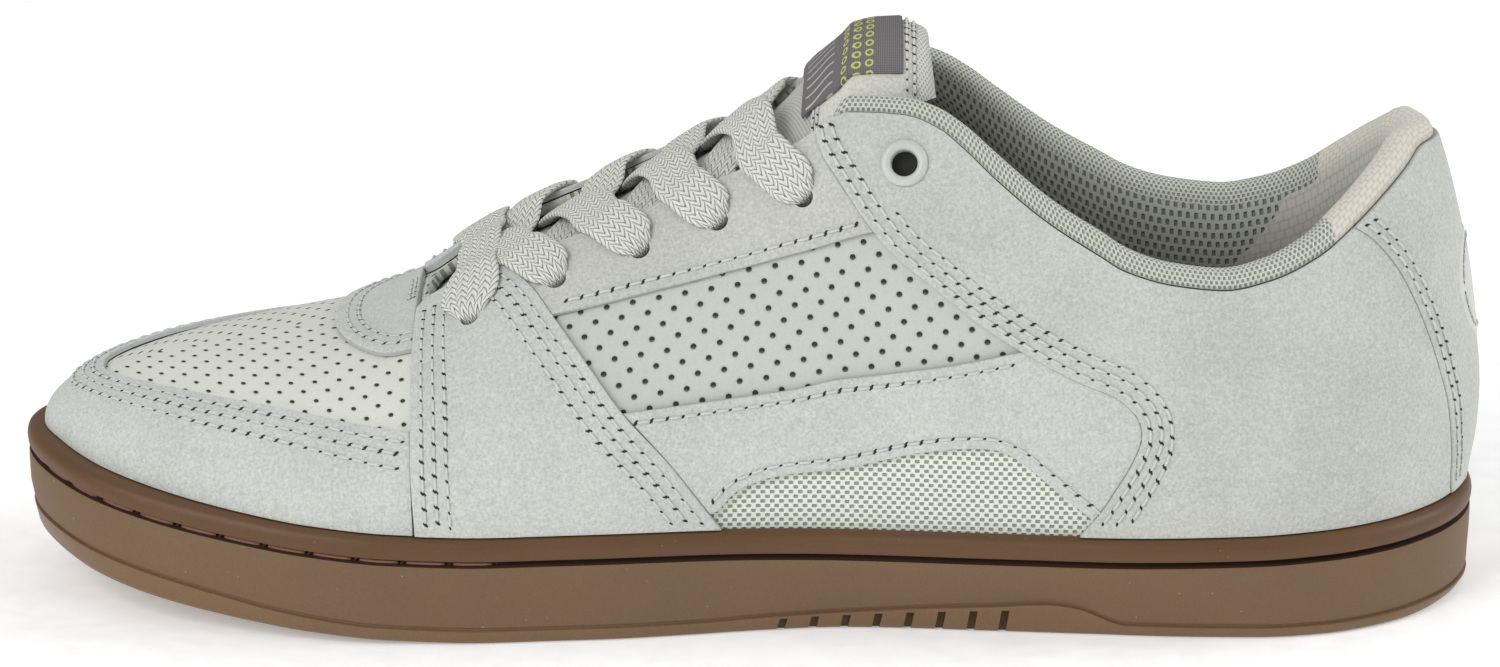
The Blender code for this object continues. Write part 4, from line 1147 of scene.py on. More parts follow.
class Recipe:
    """One material while its nodes are written."""

    def __init__(self, name: str) -> None:
        """Start a material with a Principled shader.

        Args:
            name: Name of the material.
        """
        self.material = bpy.data.materials.new(name)
        self.material.use_nodes = True
        self.tree = self.material.node_tree
        self.shader = self.tree.nodes["Principled BSDF"]

    def node(self, kind: str, settings: dict[str, object], inputs: dict[object, object]) -> Built:
        """Add a node.

        Args:
            kind: Its type.
            settings: Its settings, which are set first.
            inputs: Values or links of its sockets, by name or number.

        Returns:
            The node.
        """
        node = self.tree.nodes.new(kind)
        for key, value in settings.items():
            setattr(node, key, value)
        for key, value in inputs.items():
            socket = node.inputs[key]
            if isinstance(value, Built):
                value = value.out()
            if isinstance(value, Signal):
                self.tree.links.new(value.socket, socket)
            else:
                socket.default_value = value
        return Built(self, node)

    def place(self) -> Signal:
        """Object coordinates in millimetres."""
        spot = self.node("ShaderNodeTexCoord", {}, {}).out("Object")
        inputs = {0: spot, "Scale": 1.0 / MM}
        return self.node("ShaderNodeVectorMath", {"operation": "SCALE"}, inputs).out()

    def lie(self) -> Signal:
        """The pattern place in millimetres, which a lasted piece keeps as an attribute."""
        return self.node("ShaderNodeAttribute", {"attribute_name": "lie"}, {}).out("Vector")

    def noise(self, at: Signal, size: float, detail: float = 2.0, rough: float = 0.5) -> Signal:
        """Cloudy noise with features of one size in millimetres."""
        inputs = {"Vector": at, "Scale": 1.0 / size, "Detail": detail, "Roughness": rough}
        return self.node("ShaderNodeTexNoise", {}, inputs).out(0)

    def axes(self, at: Signal) -> tuple[Signal, Signal, Signal]:
        """The three values of a vector."""
        split = self.node("ShaderNodeSeparateXYZ", {}, {0: at})
        return split.out(0), split.out(1), split.out(2)

    def mix(self, low: object, high: object, factor: object) -> Signal:
        """Blend two colours.

        Args:
            low: The colour at 0.
            high: The colour at 1.
            factor: The share of the second.

        Returns:
            The blend.
        """
        def colour(value: object) -> object:
            """A socket or four numbers."""
            return (*value, 1.0) if isinstance(value, tuple) and len(value) == 3 else value

        settings = {"data_type": "RGBA", "clamp_factor": True}
        inputs = {0: factor, 6: colour(low), 7: colour(high)}
        return self.node("ShaderNodeMix", settings, inputs).out(2)

    def bump(self, height: Signal, depth: float, strength: float = 1.0) -> Signal:
        """Bump normals from a height whose full range is a depth in metres."""
        inputs = {"Height": height, "Distance": depth, "Strength": strength}
        return self.node("ShaderNodeBump", {}, inputs).out()

    def close(self, colour: object, rough: object, normal: Optional[Signal] = None,
              **fixed: float) -> Material:
        """Feed the shader.

        Args:
            colour: Base colour.
            rough: Roughness.
            normal: Bump normals, if any.
            fixed: Values of other sockets, with underscores for spaces.

        Returns:
            The material.
        """
        feeds = {"Base Color": colour, "Roughness": rough, "Normal": normal}
        for key, value in feeds.items():
            socket = self.shader.inputs[key]
            if isinstance(value, Signal):
                self.tree.links.new(value.socket, socket)
            elif isinstance(value, tuple):
                socket.default_value = (*value, 1.0)
            elif value is not None:
                socket.default_value = value
        for key, value in fixed.items():
            self.shader.inputs[key.replace("_", " ")].default_value = value
        return self.material


def shade(colour: Colour, by: float) -> Colour:
    """A colour times a number."""
    return (colour[0] * by, colour[1] * by, colour[2] * by)


@dataclass(frozen=True)
class Suede:
    """Nap leather: cloudy nap, a fine speckle and a soft sheen."""

    name: str
    colour: Colour
    speckle: float = 0.17
    cloud: float = 0.07
    grain_depth: float = 0.16 * MM

    def make(self) -> Material:
        """Write the material.

        Returns:
            The new material.
        """
        r = Recipe(self.name)
        at = r.place()
        cloud = r.noise(at, 22.0, 3.0)
        fine = r.noise(at, 0.68, 3.0, 0.75)
        mid = r.noise(at, 1.9, 3.0, 0.6)
        blend = (cloud - 0.5) * (self.cloud * 8.0) + (mid - 0.5) * 0.35
        blend = blend + (fine - 0.5) * (self.speckle * 16.0) + 0.5
        colour = r.mix(shade(self.colour, 0.79), shade(self.colour, 1.15), blend)
        height = fine * 0.9 + mid * 0.6
        return r.close(colour, 0.92, r.bump(height, self.grain_depth), Sheen_Weight=0.25,
                       Sheen_Roughness=0.5, Specular_IOR_Level=0.25)


@dataclass(frozen=True)
class CutEdge:
    """The raw cut edge of a suede panel, fibrous and slightly blue."""

    colour: Colour = (0.49, 0.51, 0.485)

    def make(self) -> Material:
        """Write the material.

        Returns:
            The new material.
        """
        r = Recipe("cut_edge")
        at = r.place()
        fibre = r.noise(at, 0.5, 2.0)
        colour = r.mix(shade(self.colour, 0.75), shade(self.colour, 1.15), fibre)
        return r.close(colour, 0.95, r.bump(fibre, 0.15 * MM), Specular_IOR_Level=0.2)


@dataclass(frozen=True)
class PunchedLeather:
    """Nubuck with round holes punched on a slanted grid, painted inside as shade with a lit lower
    wall.
    """

    name: str
    colour: Colour
    across: tuple[float, float]
    down: tuple[float, float]
    radius: float

    def make(self) -> Material:
        """Write the material.

        Returns:
            The new material.
        """
        r = Recipe(self.name)
        u, v, _ = r.axes(r.lie())
        (ax, ay), (bx, by) = self.across, self.down
        size = ax * by - ay * bx
        i = (u * (by / size) - v * (bx / size)) + 0.31
        j = (v * (ax / size) - u * (ay / size)) + 0.27
        fi = i.call("FRACT") - 0.5
        fj = j.call("FRACT") - 0.5
        x = fi * ax + fj * bx
        y = fi * ay + fj * by
        off = (x * x + y * y).call("SQRT")
        hole = 1.0 - off.step(self.radius - 0.14, self.radius + 0.06)
        rim = 1.0 - off.step(self.radius, self.radius + 0.55)
        lit_lower_wall = hole * (0.0 - y).step(0.05, 0.5)
        at = r.place()
        fine = r.noise(at, 0.5, 2.0, 0.6)
        cloud = r.noise(at, 14.0, 2.0)
        blend = (fine - 0.5) * 1.6 + (cloud - 0.5) * 0.6 + 0.5
        skin = r.mix(shade(self.colour, 0.93), shade(self.colour, 1.06), blend)
        skin = r.mix(skin, shade(self.colour, 0.80), rim * 0.5)
        # Painted shade: each hole is near black, and its lower wall is lighter as painted light.
        dark = r.mix((0.030, 0.034, 0.026), (0.16, 0.17, 0.13), lit_lower_wall)
        colour = r.mix(skin, dark, hole)
        height = 1.0 - hole - rim * 0.12 + fine * 0.06
        return r.close(colour, 0.80, r.bump(height, 0.5 * MM), Specular_IOR_Level=0.3)


@dataclass(frozen=True)
class KnitCloth:
    """Knitted cloth: raised yarns with painted shade in the staggered gaps between them."""

    name: str
    colour: Colour
    # Colour of the painted shade in the gaps between the yarns.
    gap: Colour
    wide: float
    tall: float
    fill: float
    depth: float = 0.35 * MM
    heel_colour: Optional[Colour] = None

    def make(self) -> Material:
        """Write the material.

        Returns:
            The new material.
        """
        r = Recipe(self.name)
        u, v, turn = r.axes(r.lie())
        wobble = r.noise(r.place(), 1.1, 1.0) - 0.5
        row = (v / self.tall).call("FLOOR")
        shift = row * 0.5
        fu = ((u / self.wide) + shift + wobble * 0.10).call("FRACT") - 0.5
        fv = ((v / self.tall) + wobble * 0.12).call("FRACT") - 0.5
        gap = (1.0 - fu.call("ABSOLUTE").step(self.fill * 0.5 - 0.09, self.fill * 0.5 + 0.07))
        gap = gap * (1.0 - fv.call("ABSOLUTE").step(0.20, 0.40))
        yarn = r.noise(r.place(), 0.28, 1.0)
        pale = r.mix(shade(self.colour, 0.82), shade(self.colour, 1.14), yarn)
        # Painted shade: the gaps between the raised yarns take the gap colour.
        colour = r.mix(pale, self.gap, gap * 0.92)
        height = 1.0 - gap + yarn * 0.25
        if self.heel_colour is not None:
            fine_u = ((u / 2.2) + shift).call("FRACT") - 0.5
            fine = 1.0 - fine_u.call("ABSOLUTE").step(0.04, 0.16)
            fine = fine + fv.call("ABSOLUTE").step(0.30, 0.46) * 0.8
            beige = r.mix(shade(self.heel_colour, 0.90), shade(self.heel_colour, 1.08), yarn)
            # Painted shade: the fine beige knit is darkened along the grooves between its yarns.
            beige = r.mix(beige, shade(self.heel_colour, 0.62), fine * 0.45)
            colour = r.mix(beige, colour, turn.step(0.49, 0.51))
            height = r.mix((1.0, 1.0, 1.0), (0.0, 0.0, 0.0), gap * turn.step(0.49, 0.51))
        return r.close(colour, 0.95, r.bump(height, self.depth), Sheen_Weight=0.2,
                       Specular_IOR_Level=0.2)


@dataclass(frozen=True)
class Gum:
    """Matte gum rubber with a fine grain and stray pale dust."""

    name: str
    colour: Colour
    rough: float
    grain: float = 0.05 * MM
    dust: float = 1.0

    def make(self) -> Material:
        """Write the material.

        Returns:
            The new material.
        """
        r = Recipe(self.name)
        at = r.place()
        fine = r.noise(at, 0.45, 2.0, 0.6)
        cloud = r.noise(at, 26.0, 3.0)
        blend = (fine - 0.5) * 1.3 + (cloud - 0.5) * 0.9 + 0.5
        colour = r.mix(shade(self.colour, 0.84), shade(self.colour, 1.16), blend)
        inputs = {"Vector": at, "Scale": 0.42, "Randomness": 1.0}
        speck = r.node("ShaderNodeTexVoronoi", {"feature": "F1"}, inputs)
        dot = 1.0 - speck.out("Distance").step(0.040, 0.095)
        rare = r.noise(at, 5.0, 1.0).step(0.50, 0.58)
        colour = r.mix(colour, (0.42, 0.34, 0.26), dot * rare * (0.6 * self.dust))
        rough = (cloud - 0.5) * 0.25 + self.rough
        return r.close(colour, rough, r.bump(fine, self.grain), Specular_IOR_Level=0.42)


@dataclass(frozen=True)
class Braid:
    """A flat braided lace: columns of slanted plaits that meet in herringbones."""

    colour: Colour = (0.760, 0.765, 0.695)
    columns: float = 5.0
    pitch: float = 1.9

    def make(self) -> Material:
        """Write the material.

        Returns:
            The new material.
        """
        r = Recipe("lace_braid")
        side, along, wide = r.axes(r.lie())
        at = r.place()
        wobble = r.noise(at, 1.6, 2.0) - 0.5
        place = side * (0.5 * self.columns) + wobble * 0.16
        fold = ((place.call("FRACT") - 0.5).call("ABSOLUTE")) * 2.0
        stagger = place.call("FLOOR") * 0.5
        rows = (along / self.pitch + fold * 1.05 + stagger + wobble * 0.25).call("FRACT") - 0.5
        slit = rows.call("ABSOLUTE").step(0.30, 0.50)
        seam = (1.0 - fold.step(0.05, 0.32)) * 0.7 + fold.step(0.74, 0.98) * 0.5
        yarn = r.noise(at, 0.25, 2.0)
        # Painted shade: the slits between plaits and the seams of the columns are darkened, more
        # where the lace narrows into a hole.
        dark = slit * (seam * 0.55 + 0.40) + seam * 0.12
        dark = dark + (1.0 - wide.step(0.45, 0.95)) * slit * 0.25
        pale = r.mix(shade(self.colour, 0.84), shade(self.colour, 1.14), yarn)
        colour = r.mix(pale, shade(self.colour, 0.33), dark)
        height = 1.0 - slit * 0.8 - seam * 0.35 + yarn * 0.18
        return r.close(colour, 0.95, r.bump(height, 0.40 * MM), Sheen_Weight=0.2,
                       Specular_IOR_Level=0.2)


@dataclass(frozen=True)
class Plain:
    """A small part's finish: one colour, slightly cloudy, with a fine grain."""

    name: str
    colour: Colour
    rough: float
    grain: float = 0.02 * MM
    size: float = 0.4
    specular: float = 0.4

    def make(self) -> Material:
        """Write the material.

        Returns:
            The new material.
        """
        r = Recipe(self.name)
        at = r.place()
        fine = r.noise(at, self.size, 2.0)
        cloud = r.noise(at, 12.0, 2.0)
        blend = (fine - 0.5) * 1.0 + (cloud - 0.5) * 0.8 + 0.5
        colour = r.mix(shade(self.colour, 0.90), shade(self.colour, 1.10), blend)
        normal = r.bump(fine, self.grain)
        return r.close(colour, self.rough, normal, Specular_IOR_Level=self.specular)


@dataclass(frozen=True)
class LabelWeave:
    """Charcoal woven label with generic bars and dots in pale and yellow thread."""

    ground: Colour = (0.170, 0.161, 0.164)
    pale: Colour = (0.62, 0.62, 0.60)
    bright: Colour = (0.62, 0.66, 0.16)

    def make(self) -> Material:
        """Write the material.

        Returns:
            The new material.
        """
        r = Recipe("label_weave")
        along, across, _ = r.axes(r.lie())
        warp = (along / 0.42).call("FRACT") - 0.5
        weft = (across / 0.36).call("FRACT") - 0.5
        weave = warp.call("ABSOLUTE").step(0.15, 0.5) * 0.5
        weave = weave + weft.call("ABSOLUTE").step(0.15, 0.5) * 0.5
        ground = r.mix(shade(self.ground, 1.30), shade(self.ground, 0.55), weave)
        wave = (along * 0.55).call("SINE") * 0.9
        bars = ((across + wave) / 2.6).call("FRACT") - 0.5
        bar = 1.0 - bars.call("ABSOLUTE").step(0.06, 0.10)
        left = 1.0 - along.step(9.6, 10.2)
        shown = bar * left * (1.0 - along.step(8.8, 9.4)) * along.step(1.4, 1.9) * 0.85
        pale = r.mix(ground, self.pale, shown)
        dx = ((along - 11.6) / 2.4).call("FRACT") - 0.5
        dy = (across / 2.4).call("FRACT") - 0.5
        ring = ((dx * dx + dy * dy).call("SQRT") - 0.27).call("ABSOLUTE")
        dots = (1.0 - ring.step(0.05, 0.10)) * along.step(11.2, 11.5)
        dots = dots * (1.0 - along.step(18.3, 18.6))
        colour = r.mix(pale, self.bright, dots * 0.9)
        return r.close(colour, 0.85, r.bump(weave, 0.10 * MM), Specular_IOR_Level=0.25)


class Finish(Protocol):
    """Anything that writes a material."""

    def make(self) -> Material:
        """Write the material."""


def written(finish: Finish) -> Material:
    """A field whose value is the material that a finish writes."""
    return field(default_factory=finish.make)


@dataclass
class Finishes:
    """Every finish of the shoe, made once."""

    suede: Material = written(Suede("suede", (0.585, 0.603, 0.567)))
    suede_quarter: Material = written(Suede("suede_quarter", (0.555, 0.570, 0.530), cloud=0.11))
    suede_eyestay: Material = written(Suede("suede_eyestay", (0.550, 0.560, 0.522)))
    cut_edge: Material = written(CutEdge())
    vamp: Material = written(PunchedLeather(
        "vamp_nubuck", (0.715, 0.725, 0.660), (5.0, 1.0), (2.8, -2.4), 0.50))
    side: Material = written(PunchedLeather(
        "side_nubuck", (0.560, 0.578, 0.530), (5.35, 0.66), (3.17, -2.49), 0.60))
    # Each knit's second colour is painted shade in its gaps.
    window: Material = written(KnitCloth(
        "window_knit", (0.800, 0.835, 0.745), (0.25, 0.285, 0.225), 1.9, 1.0, 0.46))
    roll: Material = written(KnitCloth(
        "collar_knit", (0.600, 0.620, 0.545), (0.23, 0.25, 0.20), 1.05, 0.95, 0.44,
        heel_colour=(0.70, 0.665, 0.585)))
    lining: Material = written(KnitCloth(
        "lining_knit", (0.54, 0.565, 0.475), (0.17, 0.185, 0.15), 1.7, 2.2, 0.42,
        heel_colour=(0.66, 0.645, 0.575)))
    thread: Material = written(Plain("thread", (0.615, 0.635, 0.605), 0.8, 0.05 * MM, 0.3, 0.3))
    # Painted shade in the stitch holes and the ring's bore.
    pinhole: Material = written(Plain("pinhole", (0.040, 0.041, 0.036), 0.95, 0.0, 0.4, 0.1))
    sole_thread: Material = written(
        Plain("sole_thread", (0.25, 0.125, 0.085), 0.6, 0.05 * MM, 0.3, 0.3))
    foxing: Material = written(Gum("foxing_gum", (0.168, 0.101, 0.050), 0.60))
    bead: Material = written(Gum("bead_gum", (0.116, 0.055, 0.020), 0.50, 0.02 * MM, 0.5))
    band: Material = written(Gum("band_gum", (0.182, 0.106, 0.051), 0.40, 0.02 * MM, 0.6))
    # Painted shade: the groove of the sole is coloured near black.
    groove: Material = written(Plain("groove_gum", (0.050, 0.020, 0.012), 0.7))
    braid: Material = written(Braid())
    tongue: Material = written(Suede("tongue_suede", (0.690, 0.692, 0.635)))
    # The edging's second colour is painted shade in its gaps.
    edging: Material = written(KnitCloth(
        "tongue_edging", (0.640, 0.640, 0.600), (0.36, 0.36, 0.325), 0.8, 0.7, 0.40,
        0.12 * MM))
    label: Material = written(LabelWeave())
    resin: Material = written(
        Plain("grommet_resin", (0.55, 0.57, 0.53), 0.30, 0.005 * MM, 0.4, 0.5))
    patch: Material = written(
        Plain("heel_patch_leather", (0.630, 0.640, 0.595), 0.55, 0.03 * MM, 0.5, 0.4))
    footbed: Material = written(
        Plain("insole_cloth", (0.19, 0.20, 0.17), 0.95, 0.08 * MM, 0.5, 0.2))


def top_of(shares: Array) -> Array:
    """Height of the upper's top edge, as a share of the girth, at shares of the length."""
    return smooth(column(TOPLINE, 0), column(TOPLINE, 1), shares)


def top_edge(side: float, low: float, high: float, count: int = 60,
             raise_by: float = 0.0) -> Array:
    """Read the upper's top edge between two shares of the length.

    Args:
        side: -1 for the medial side, 1 for the lateral one.
        low: The first share.
        high: The last share.
        count: Number of points.
        raise_by: Share of the girth added along the throat.

    Returns:
        Pattern points.
    """
    turns = np.linspace(turn_of(low), turn_of(high), count)
    up = top_of(share_of(turns))
    up = np.minimum(up + raise_by * ease(0.450, 0.480, share_of(turns)), 1.0)
    return np.stack((turns, side * (1.0 - up)), axis=-1)


@dataclass
class Assembly:
    """A part of the shoe, with the last, the maker and the finishes that it works with."""

    last: Last
    maker: Maker
    finishes: Finishes


@dataclass
class Upper(Assembly):
    """The hollow base of the upper and the panels sewn over it."""

    base_lift: float = -1.5 * MM
    base_wall: float = 2.0 * MM
    lining_peek: float = 0.010
    eyelet_radius: float = 2.2 * MM
    grommet_hole: float = 3.4 * MM
    grommet_bore: float = 2.7 * MM
    grommet_rim: float = 4.8 * MM
    punch_length: float = 14.0 * MM
    punch_sink: float = 2.0 * MM
    grommet_spot: tuple[float, float] = (0.391, 0.650)
    raised: float = 0.55 * MM
    counter_raised: float = 0.95 * MM
    moon_lift: float = 0.15 * MM
    stay_lift: float = 0.05 * MM
    panel_wall: float = 1.2 * MM
    toe_back: float = 0.7285
    moon_back: float = 0.7320
    moon_half: float = 0.12
    patch_lift: float = 1.10 * MM
    patch_wall: float = 0.5 * MM
    patch_height: float = 0.430
    patch_half: tuple[float, float] = (0.060, 0.120)
    patch_seam: tuple[float, float] = (0.048, 0.100)
    throat_front: float = 0.730
    seam_foot: float = 0.985
    base_cuts: tuple[int, int] = (128, 36)
    window_zone: tuple[float, float, float] = (0.24, 0.535, 0.20)
    beige_zone: tuple[float, float] = (0.155, 0.163)

    def build_base(self) -> Piece:
        """Build the punched vamp, punched sides, knit windows and lining, as one wall.

        Returns:
            The new piece.
        """
        last = self.last
        edge = 1.0 + last.skirt
        lateral = top_edge(1.0, 0.0, self.throat_front, 150, self.lining_peek)
        medial = top_edge(-1.0, 0.0, self.throat_front, 150, self.lining_peek)[::-1]
        lateral[-1] = (turn_of(self.throat_front), 0.0)
        corners = np.array([(0.0, -edge), (1.0, -edge), (1.0, edge), (0.0, edge)])
        rim = np.vstack((corners, lateral, medial[1:]))
        form = bmesh.new()
        layer = form.verts.layers.float_vector.new("lie")
        form.faces.new([form.verts.new((x, y, 0.0)) for x, y in rim])
        along, up_lines = self.base_cuts
        cuts = [(k / along, 0) for k in range(1, along)]
        cuts += [(k / up_lines, 1) for k in range(-up_lines, up_lines + 1)]
        cut_lines(form, cuts + [(turn_of(self.throat_front), 0)])
        rear, front, top = self.window_zone
        for face in form.faces:
            middle = face.calc_center_median()
            share = float(share_of(middle.x))
            knit = rear < share < front and 1.0 - abs(middle.y) < top
            face.material_index = 1 if share > self.throat_front else (2 if knit else 0)
        inside = set(form.faces[:])
        inner, outer, outside = thicken(form)
        seams = []
        for face in form.faces:
            if face in outside:
                continue
            face.material_index = 3
            turns = [vert.co.x for vert in face.verts]
            if face not in inside and (max(turns) < 1e-6 or min(turns) > 1.0 - 1e-6):
                seams.append(face)
        bmesh.ops.delete(form, geom=seams, context="FACES_ONLY")
        for verts, lift in ((inner, self.base_lift - self.base_wall), (outer, self.base_lift)):
            flat = np.array([vert.co[:2] for vert in verts])
            lies = last.lie(flat[:, 0], flat[:, 1])
            lies[:, 2] = ease(*self.beige_zone, share_of(flat[:, 0]))
            places = last.lay(flat[:, 0], flat[:, 1], np.full(len(verts), lift))
            for vert, point, lie in zip(verts, places, lies):
                vert.co = point
                vert[layer] = lie
        f = self.finishes
        dress = (f.side, f.vamp, f.window, f.lining)
        return self.maker.keep("upper_base", form, dress, "upper_leather", ("upper",))

    @staticmethod
    def _over(table: Rows, first: float) -> Array:
        """Pattern points of an edge that runs over the ridge, from one side to the other."""
        return dense(np.vstack((turned(table, first), turned(table[:-1], -first, True))))

    def _oval(self, half: tuple[float, float], turns: Array) -> Array:
        """Pattern points of an oval round the middle of the heel patch."""
        up = self.patch_height + half[1] * np.sin(turns)
        return np.stack((half[0] * np.cos(turns), up), axis=-1)

    def build_panels(self) -> dict[str, Piece]:
        """Cut the suede panels to their patterns and lay them on the last.

        Returns:
            The pieces by name.
        """
        f = self.finishes
        made: dict[str, Piece] = {}

        def panel(name: str, edges: Sequence[Array], lift: float, suede: Material,
                  wall: float, **more: object) -> None:
            """Join edges as a rim, drop doubled corners and build the panel.

            Args:
                name: Name of the piece and its node.
                edges: Pattern points of its edges, in order.
                lift: Distance of its face from the last's.
                suede: Finish of its face.
                wall: Its thickness.
                more: Other fields of a panel.
            """
            rim = np.vstack(edges)
            keep = np.linalg.norm(rim - np.roll(rim, 1, axis=0), axis=1) > 1e-5
            made[name] = Panel(name, rim[keep], lift, wall, **more).build(
                self.last, self.maker, (suede, f.cut_edge), "suede", (name,))

        rest = self.panel_wall
        back = turn_of(self.toe_back)
        toe = [dense(np.array([(back, -1.0), (0.90, -1.0), (1.0, -1.0)])), np.array([(1.0, 1.0)]),
               dense(np.array([(0.90, 1.0), (back, 1.0)])), self._over(TOE_EDGE, 1.0)]
        panel("toe_cap", toe, 0.0, f.suede, rest)
        closing = [(turn_of(self.moon_back), side * self.moon_half) for side in (1.0, -1.0)]
        moon = [self._over(MOON_EDGE, -1.0), np.array(closing)]
        panel("throat_piece", moon, self.moon_lift, f.suede, rest + self.moon_lift)
        for side in Side:
            s = side.value
            fore = [dense(turned(FORE_FRONT, s)), dense(turned(FORE_TIP, s))[1:],
                    top_edge(s, 0.704, 0.684, 10), dense(turned(FORE_REAR, s))]
            thick = rest + self.raised
            panel("forefoot_panel_" + side.word, fore, self.raised, f.suede, thick)
            stay = [top_edge(s, 0.455, 0.680, 60), dense(turned(FORE_REAR[1:5], s)),
                    dense(turned(EYESTAY_LOW, s)), dense(turned(QUARTER_FRONT[:4], s, True))]
            panel("eyestay_" + side.word, stay, self.stay_lift, f.suede_eyestay, rest)
            panel("midfoot_band_" + side.word, self._band_edges(s), 0.0, f.suede, rest)
            quarter = [dense(turned(QUARTER_FRONT, s)), dense(turned(COUNTER_FRONT, s)),
                       top_edge(s, 0.072, 0.452, 90)]
            panel("quarter_" + side.word, quarter, self.raised, f.suede_quarter, thick)
        left = dense(np.array([(turn_of(a), b) for a, b in COUNTER_FRONT]))
        top = top_edge(-1.0, 0.070, 0.0, 30)
        top = np.stack((top[:, 0], 1.0 - np.abs(top[:, 1])), axis=-1)
        half = np.vstack((left, top[1:]))
        mirror = (half * np.array([-1.0, 1.0]))[::-1]
        panel("heel_counter", [half, mirror[1:]], self.counter_raised, f.suede_quarter,
              1.5 * rest, around_heel=True)
        oval = self._oval(self.patch_half, np.linspace(0.0, FULL_TURN, 48, endpoint=False))
        panel("heel_patch", [oval], self.patch_lift, f.patch, self.patch_wall, around_heel=True)
        return made

    @staticmethod
    def _band_edges(s: float) -> list[Array]:
        """Draw the midfoot band between the forefoot panel, quarter and window.

        Args:
            s: Sign of the side's girth.

        Returns:
            Pattern points of its edges, in order.
        """
        front = turned(FORE_REAR[6:], s)
        rear = turned(QUARTER_FRONT[7:], s)
        window = turned(WINDOW, s)
        return [dense(turned(BAND_TOP, s)), dense(rear)[1:-2], dense(window[1:-1]),
                dense(front)[::-1][2:]]

    def build_seams(self) -> None:
        """Rows of stitches beside the panels' edges."""
        f = self.finishes
        last = self.last
        seam = Seam()

        def row(line: Array, side: float, offset: float, lift: float,
                low: float = 0.0, high: float = 1.0) -> None:
            """Sew one row beside an edge, over part of its length.

            Args:
                line: Pattern points of the edge.
                side: Sign of the side's girth.
                offset: Distance from the edge in mm.
                lift: Distance of the panel's face from the last's.
                low: Share of the edge where the row starts.
                high: Share of the edge where it ends.
            """
            shifted = offset_line(last, line, -side * offset * MM)
            count = len(shifted)
            part = shifted[int(low * count):max(int(high * count), 2)]
            part = part[np.abs(part[:, 1]) < self.seam_foot]
            if len(part) > 2:
                seam.sew_on(last, part, lift)

        for side in Side:
            s = side.value
            front = dense(turned(FORE_FRONT, s))
            for offset in (2.4, 4.9, 7.3):
                row(front, s, offset, self.raised, 0.02, 0.97)
            rear = dense(turned(FORE_REAR, s))
            for offset, low in ((2.3, 0.0), (4.6, 0.02), (7.2, 0.05)):
                row(rear, s, offset, self.raised, low, 0.98)
            row(dense(turned(EYESTAY_LOW, s)), s, -2.3, self.stay_lift, 0.04, 0.99)
            row(dense(turned(BAND_TOP, s)), s, 2.2, 0.0, 0.03, 0.99)
            row(dense(turned(WINDOW, s)), s, 2.3, 0.0, 0.05, 0.95)
            edge = dense(turned(QUARTER_FRONT, s))
            for offset, low, high in ((-1.7, 0.01, 0.98), (-4.0, 0.02, 0.98), (-6.2, 0.22, 0.95)):
                row(edge, s, offset, self.raised, low, high)
            counter = dense(turned(COUNTER_FRONT, s))
            for offset, high in ((1.8, 0.98), (4.0, 0.95)):
                row(counter, s, offset, self.counter_raised, 0.02, high)
        for offset in (-2.4, -5.0, -8.0):
            row(self._over(TOE_EDGE, -1.0), -1.0, offset, 0.0)
        for offset in (2.6, 5.0):
            row(self._over(MOON_EDGE, -1.0), -1.0, offset, self.moon_lift, 0.01, 0.99)
        for share in (0.7375, 0.7345):
            line = np.stack((np.full(20, turn_of(share)), np.linspace(-0.11, 0.11, 20)), axis=-1)
            seam.sew_on(last, line, self.moon_lift)
        oval = self._oval(self.patch_seam, np.linspace(0.0, FULL_TURN, 60))
        girth = (oval[:, 1] - 1.0) * np.where(oval[:, 0] >= 0.0, 1.0, -1.0)
        seam.sew(*last.skin(oval[:, 0], girth, self.patch_lift))
        seam.finish("panel_stitches", (f.thread, f.pinhole), "suede")

    def build_holes(self, base: Piece, panels: dict[str, Piece]) -> None:
        """Punch the lace holes and seat a ring in each sixth hole.

        Args:
            base: The upper's base.
            panels: The panels by name.
        """
        last = self.last
        jobs: dict[str, list[Piece]] = {}
        for side in Side:
            s = side.value
            for k, (share, up) in enumerate(tuple(EYELETS) + (self.grommet_spot,)):
                spot = np.array([(turn_of(share), s * (1.0 - up))])
                places, axes = last.skin(spot[:, 0], spot[:, 1], 0.0)
                sixth = k == len(EYELETS)
                radius = self.grommet_hole if sixth else self.eyelet_radius
                panel = "forefoot_panel_" if k == 0 else ("quarter_" if sixth else "eyestay_")
                for name in ("upper", panel + side.word):
                    punch = self._punch_tool(places[0], axes[0], radius)
                    jobs.setdefault(name, []).append(punch)
                if sixth:
                    self._grommet(places[0], axes[0], side)
        for name, tools in jobs.items():
            self.maker.punch(base if name == "upper" else panels[name], tools)

    def _punch_tool(self, place: Array, axis: Array, radius: float) -> Piece:
        """Stand a round punch in the wall.

        Args:
            place: Middle of the hole on the last's face.
            axis: Unit vector out of the skin.
            radius: The hole's radius.

        Returns:
            The cutter.
        """
        form = bmesh.new()
        bmesh.ops.create_cone(form, cap_ends=True, segments=24, radius1=radius, radius2=radius,
                              depth=self.punch_length)
        turned_to = Vector((0.0, 0.0, 1.0)).rotation_difference(Vector(axis)).to_matrix()
        bmesh.ops.transform(form, matrix=turned_to.to_4x4(), verts=form.verts)
        bmesh.ops.translate(form, vec=Vector(place - axis * self.punch_sink), verts=form.verts)
        return self.maker.tool(form)

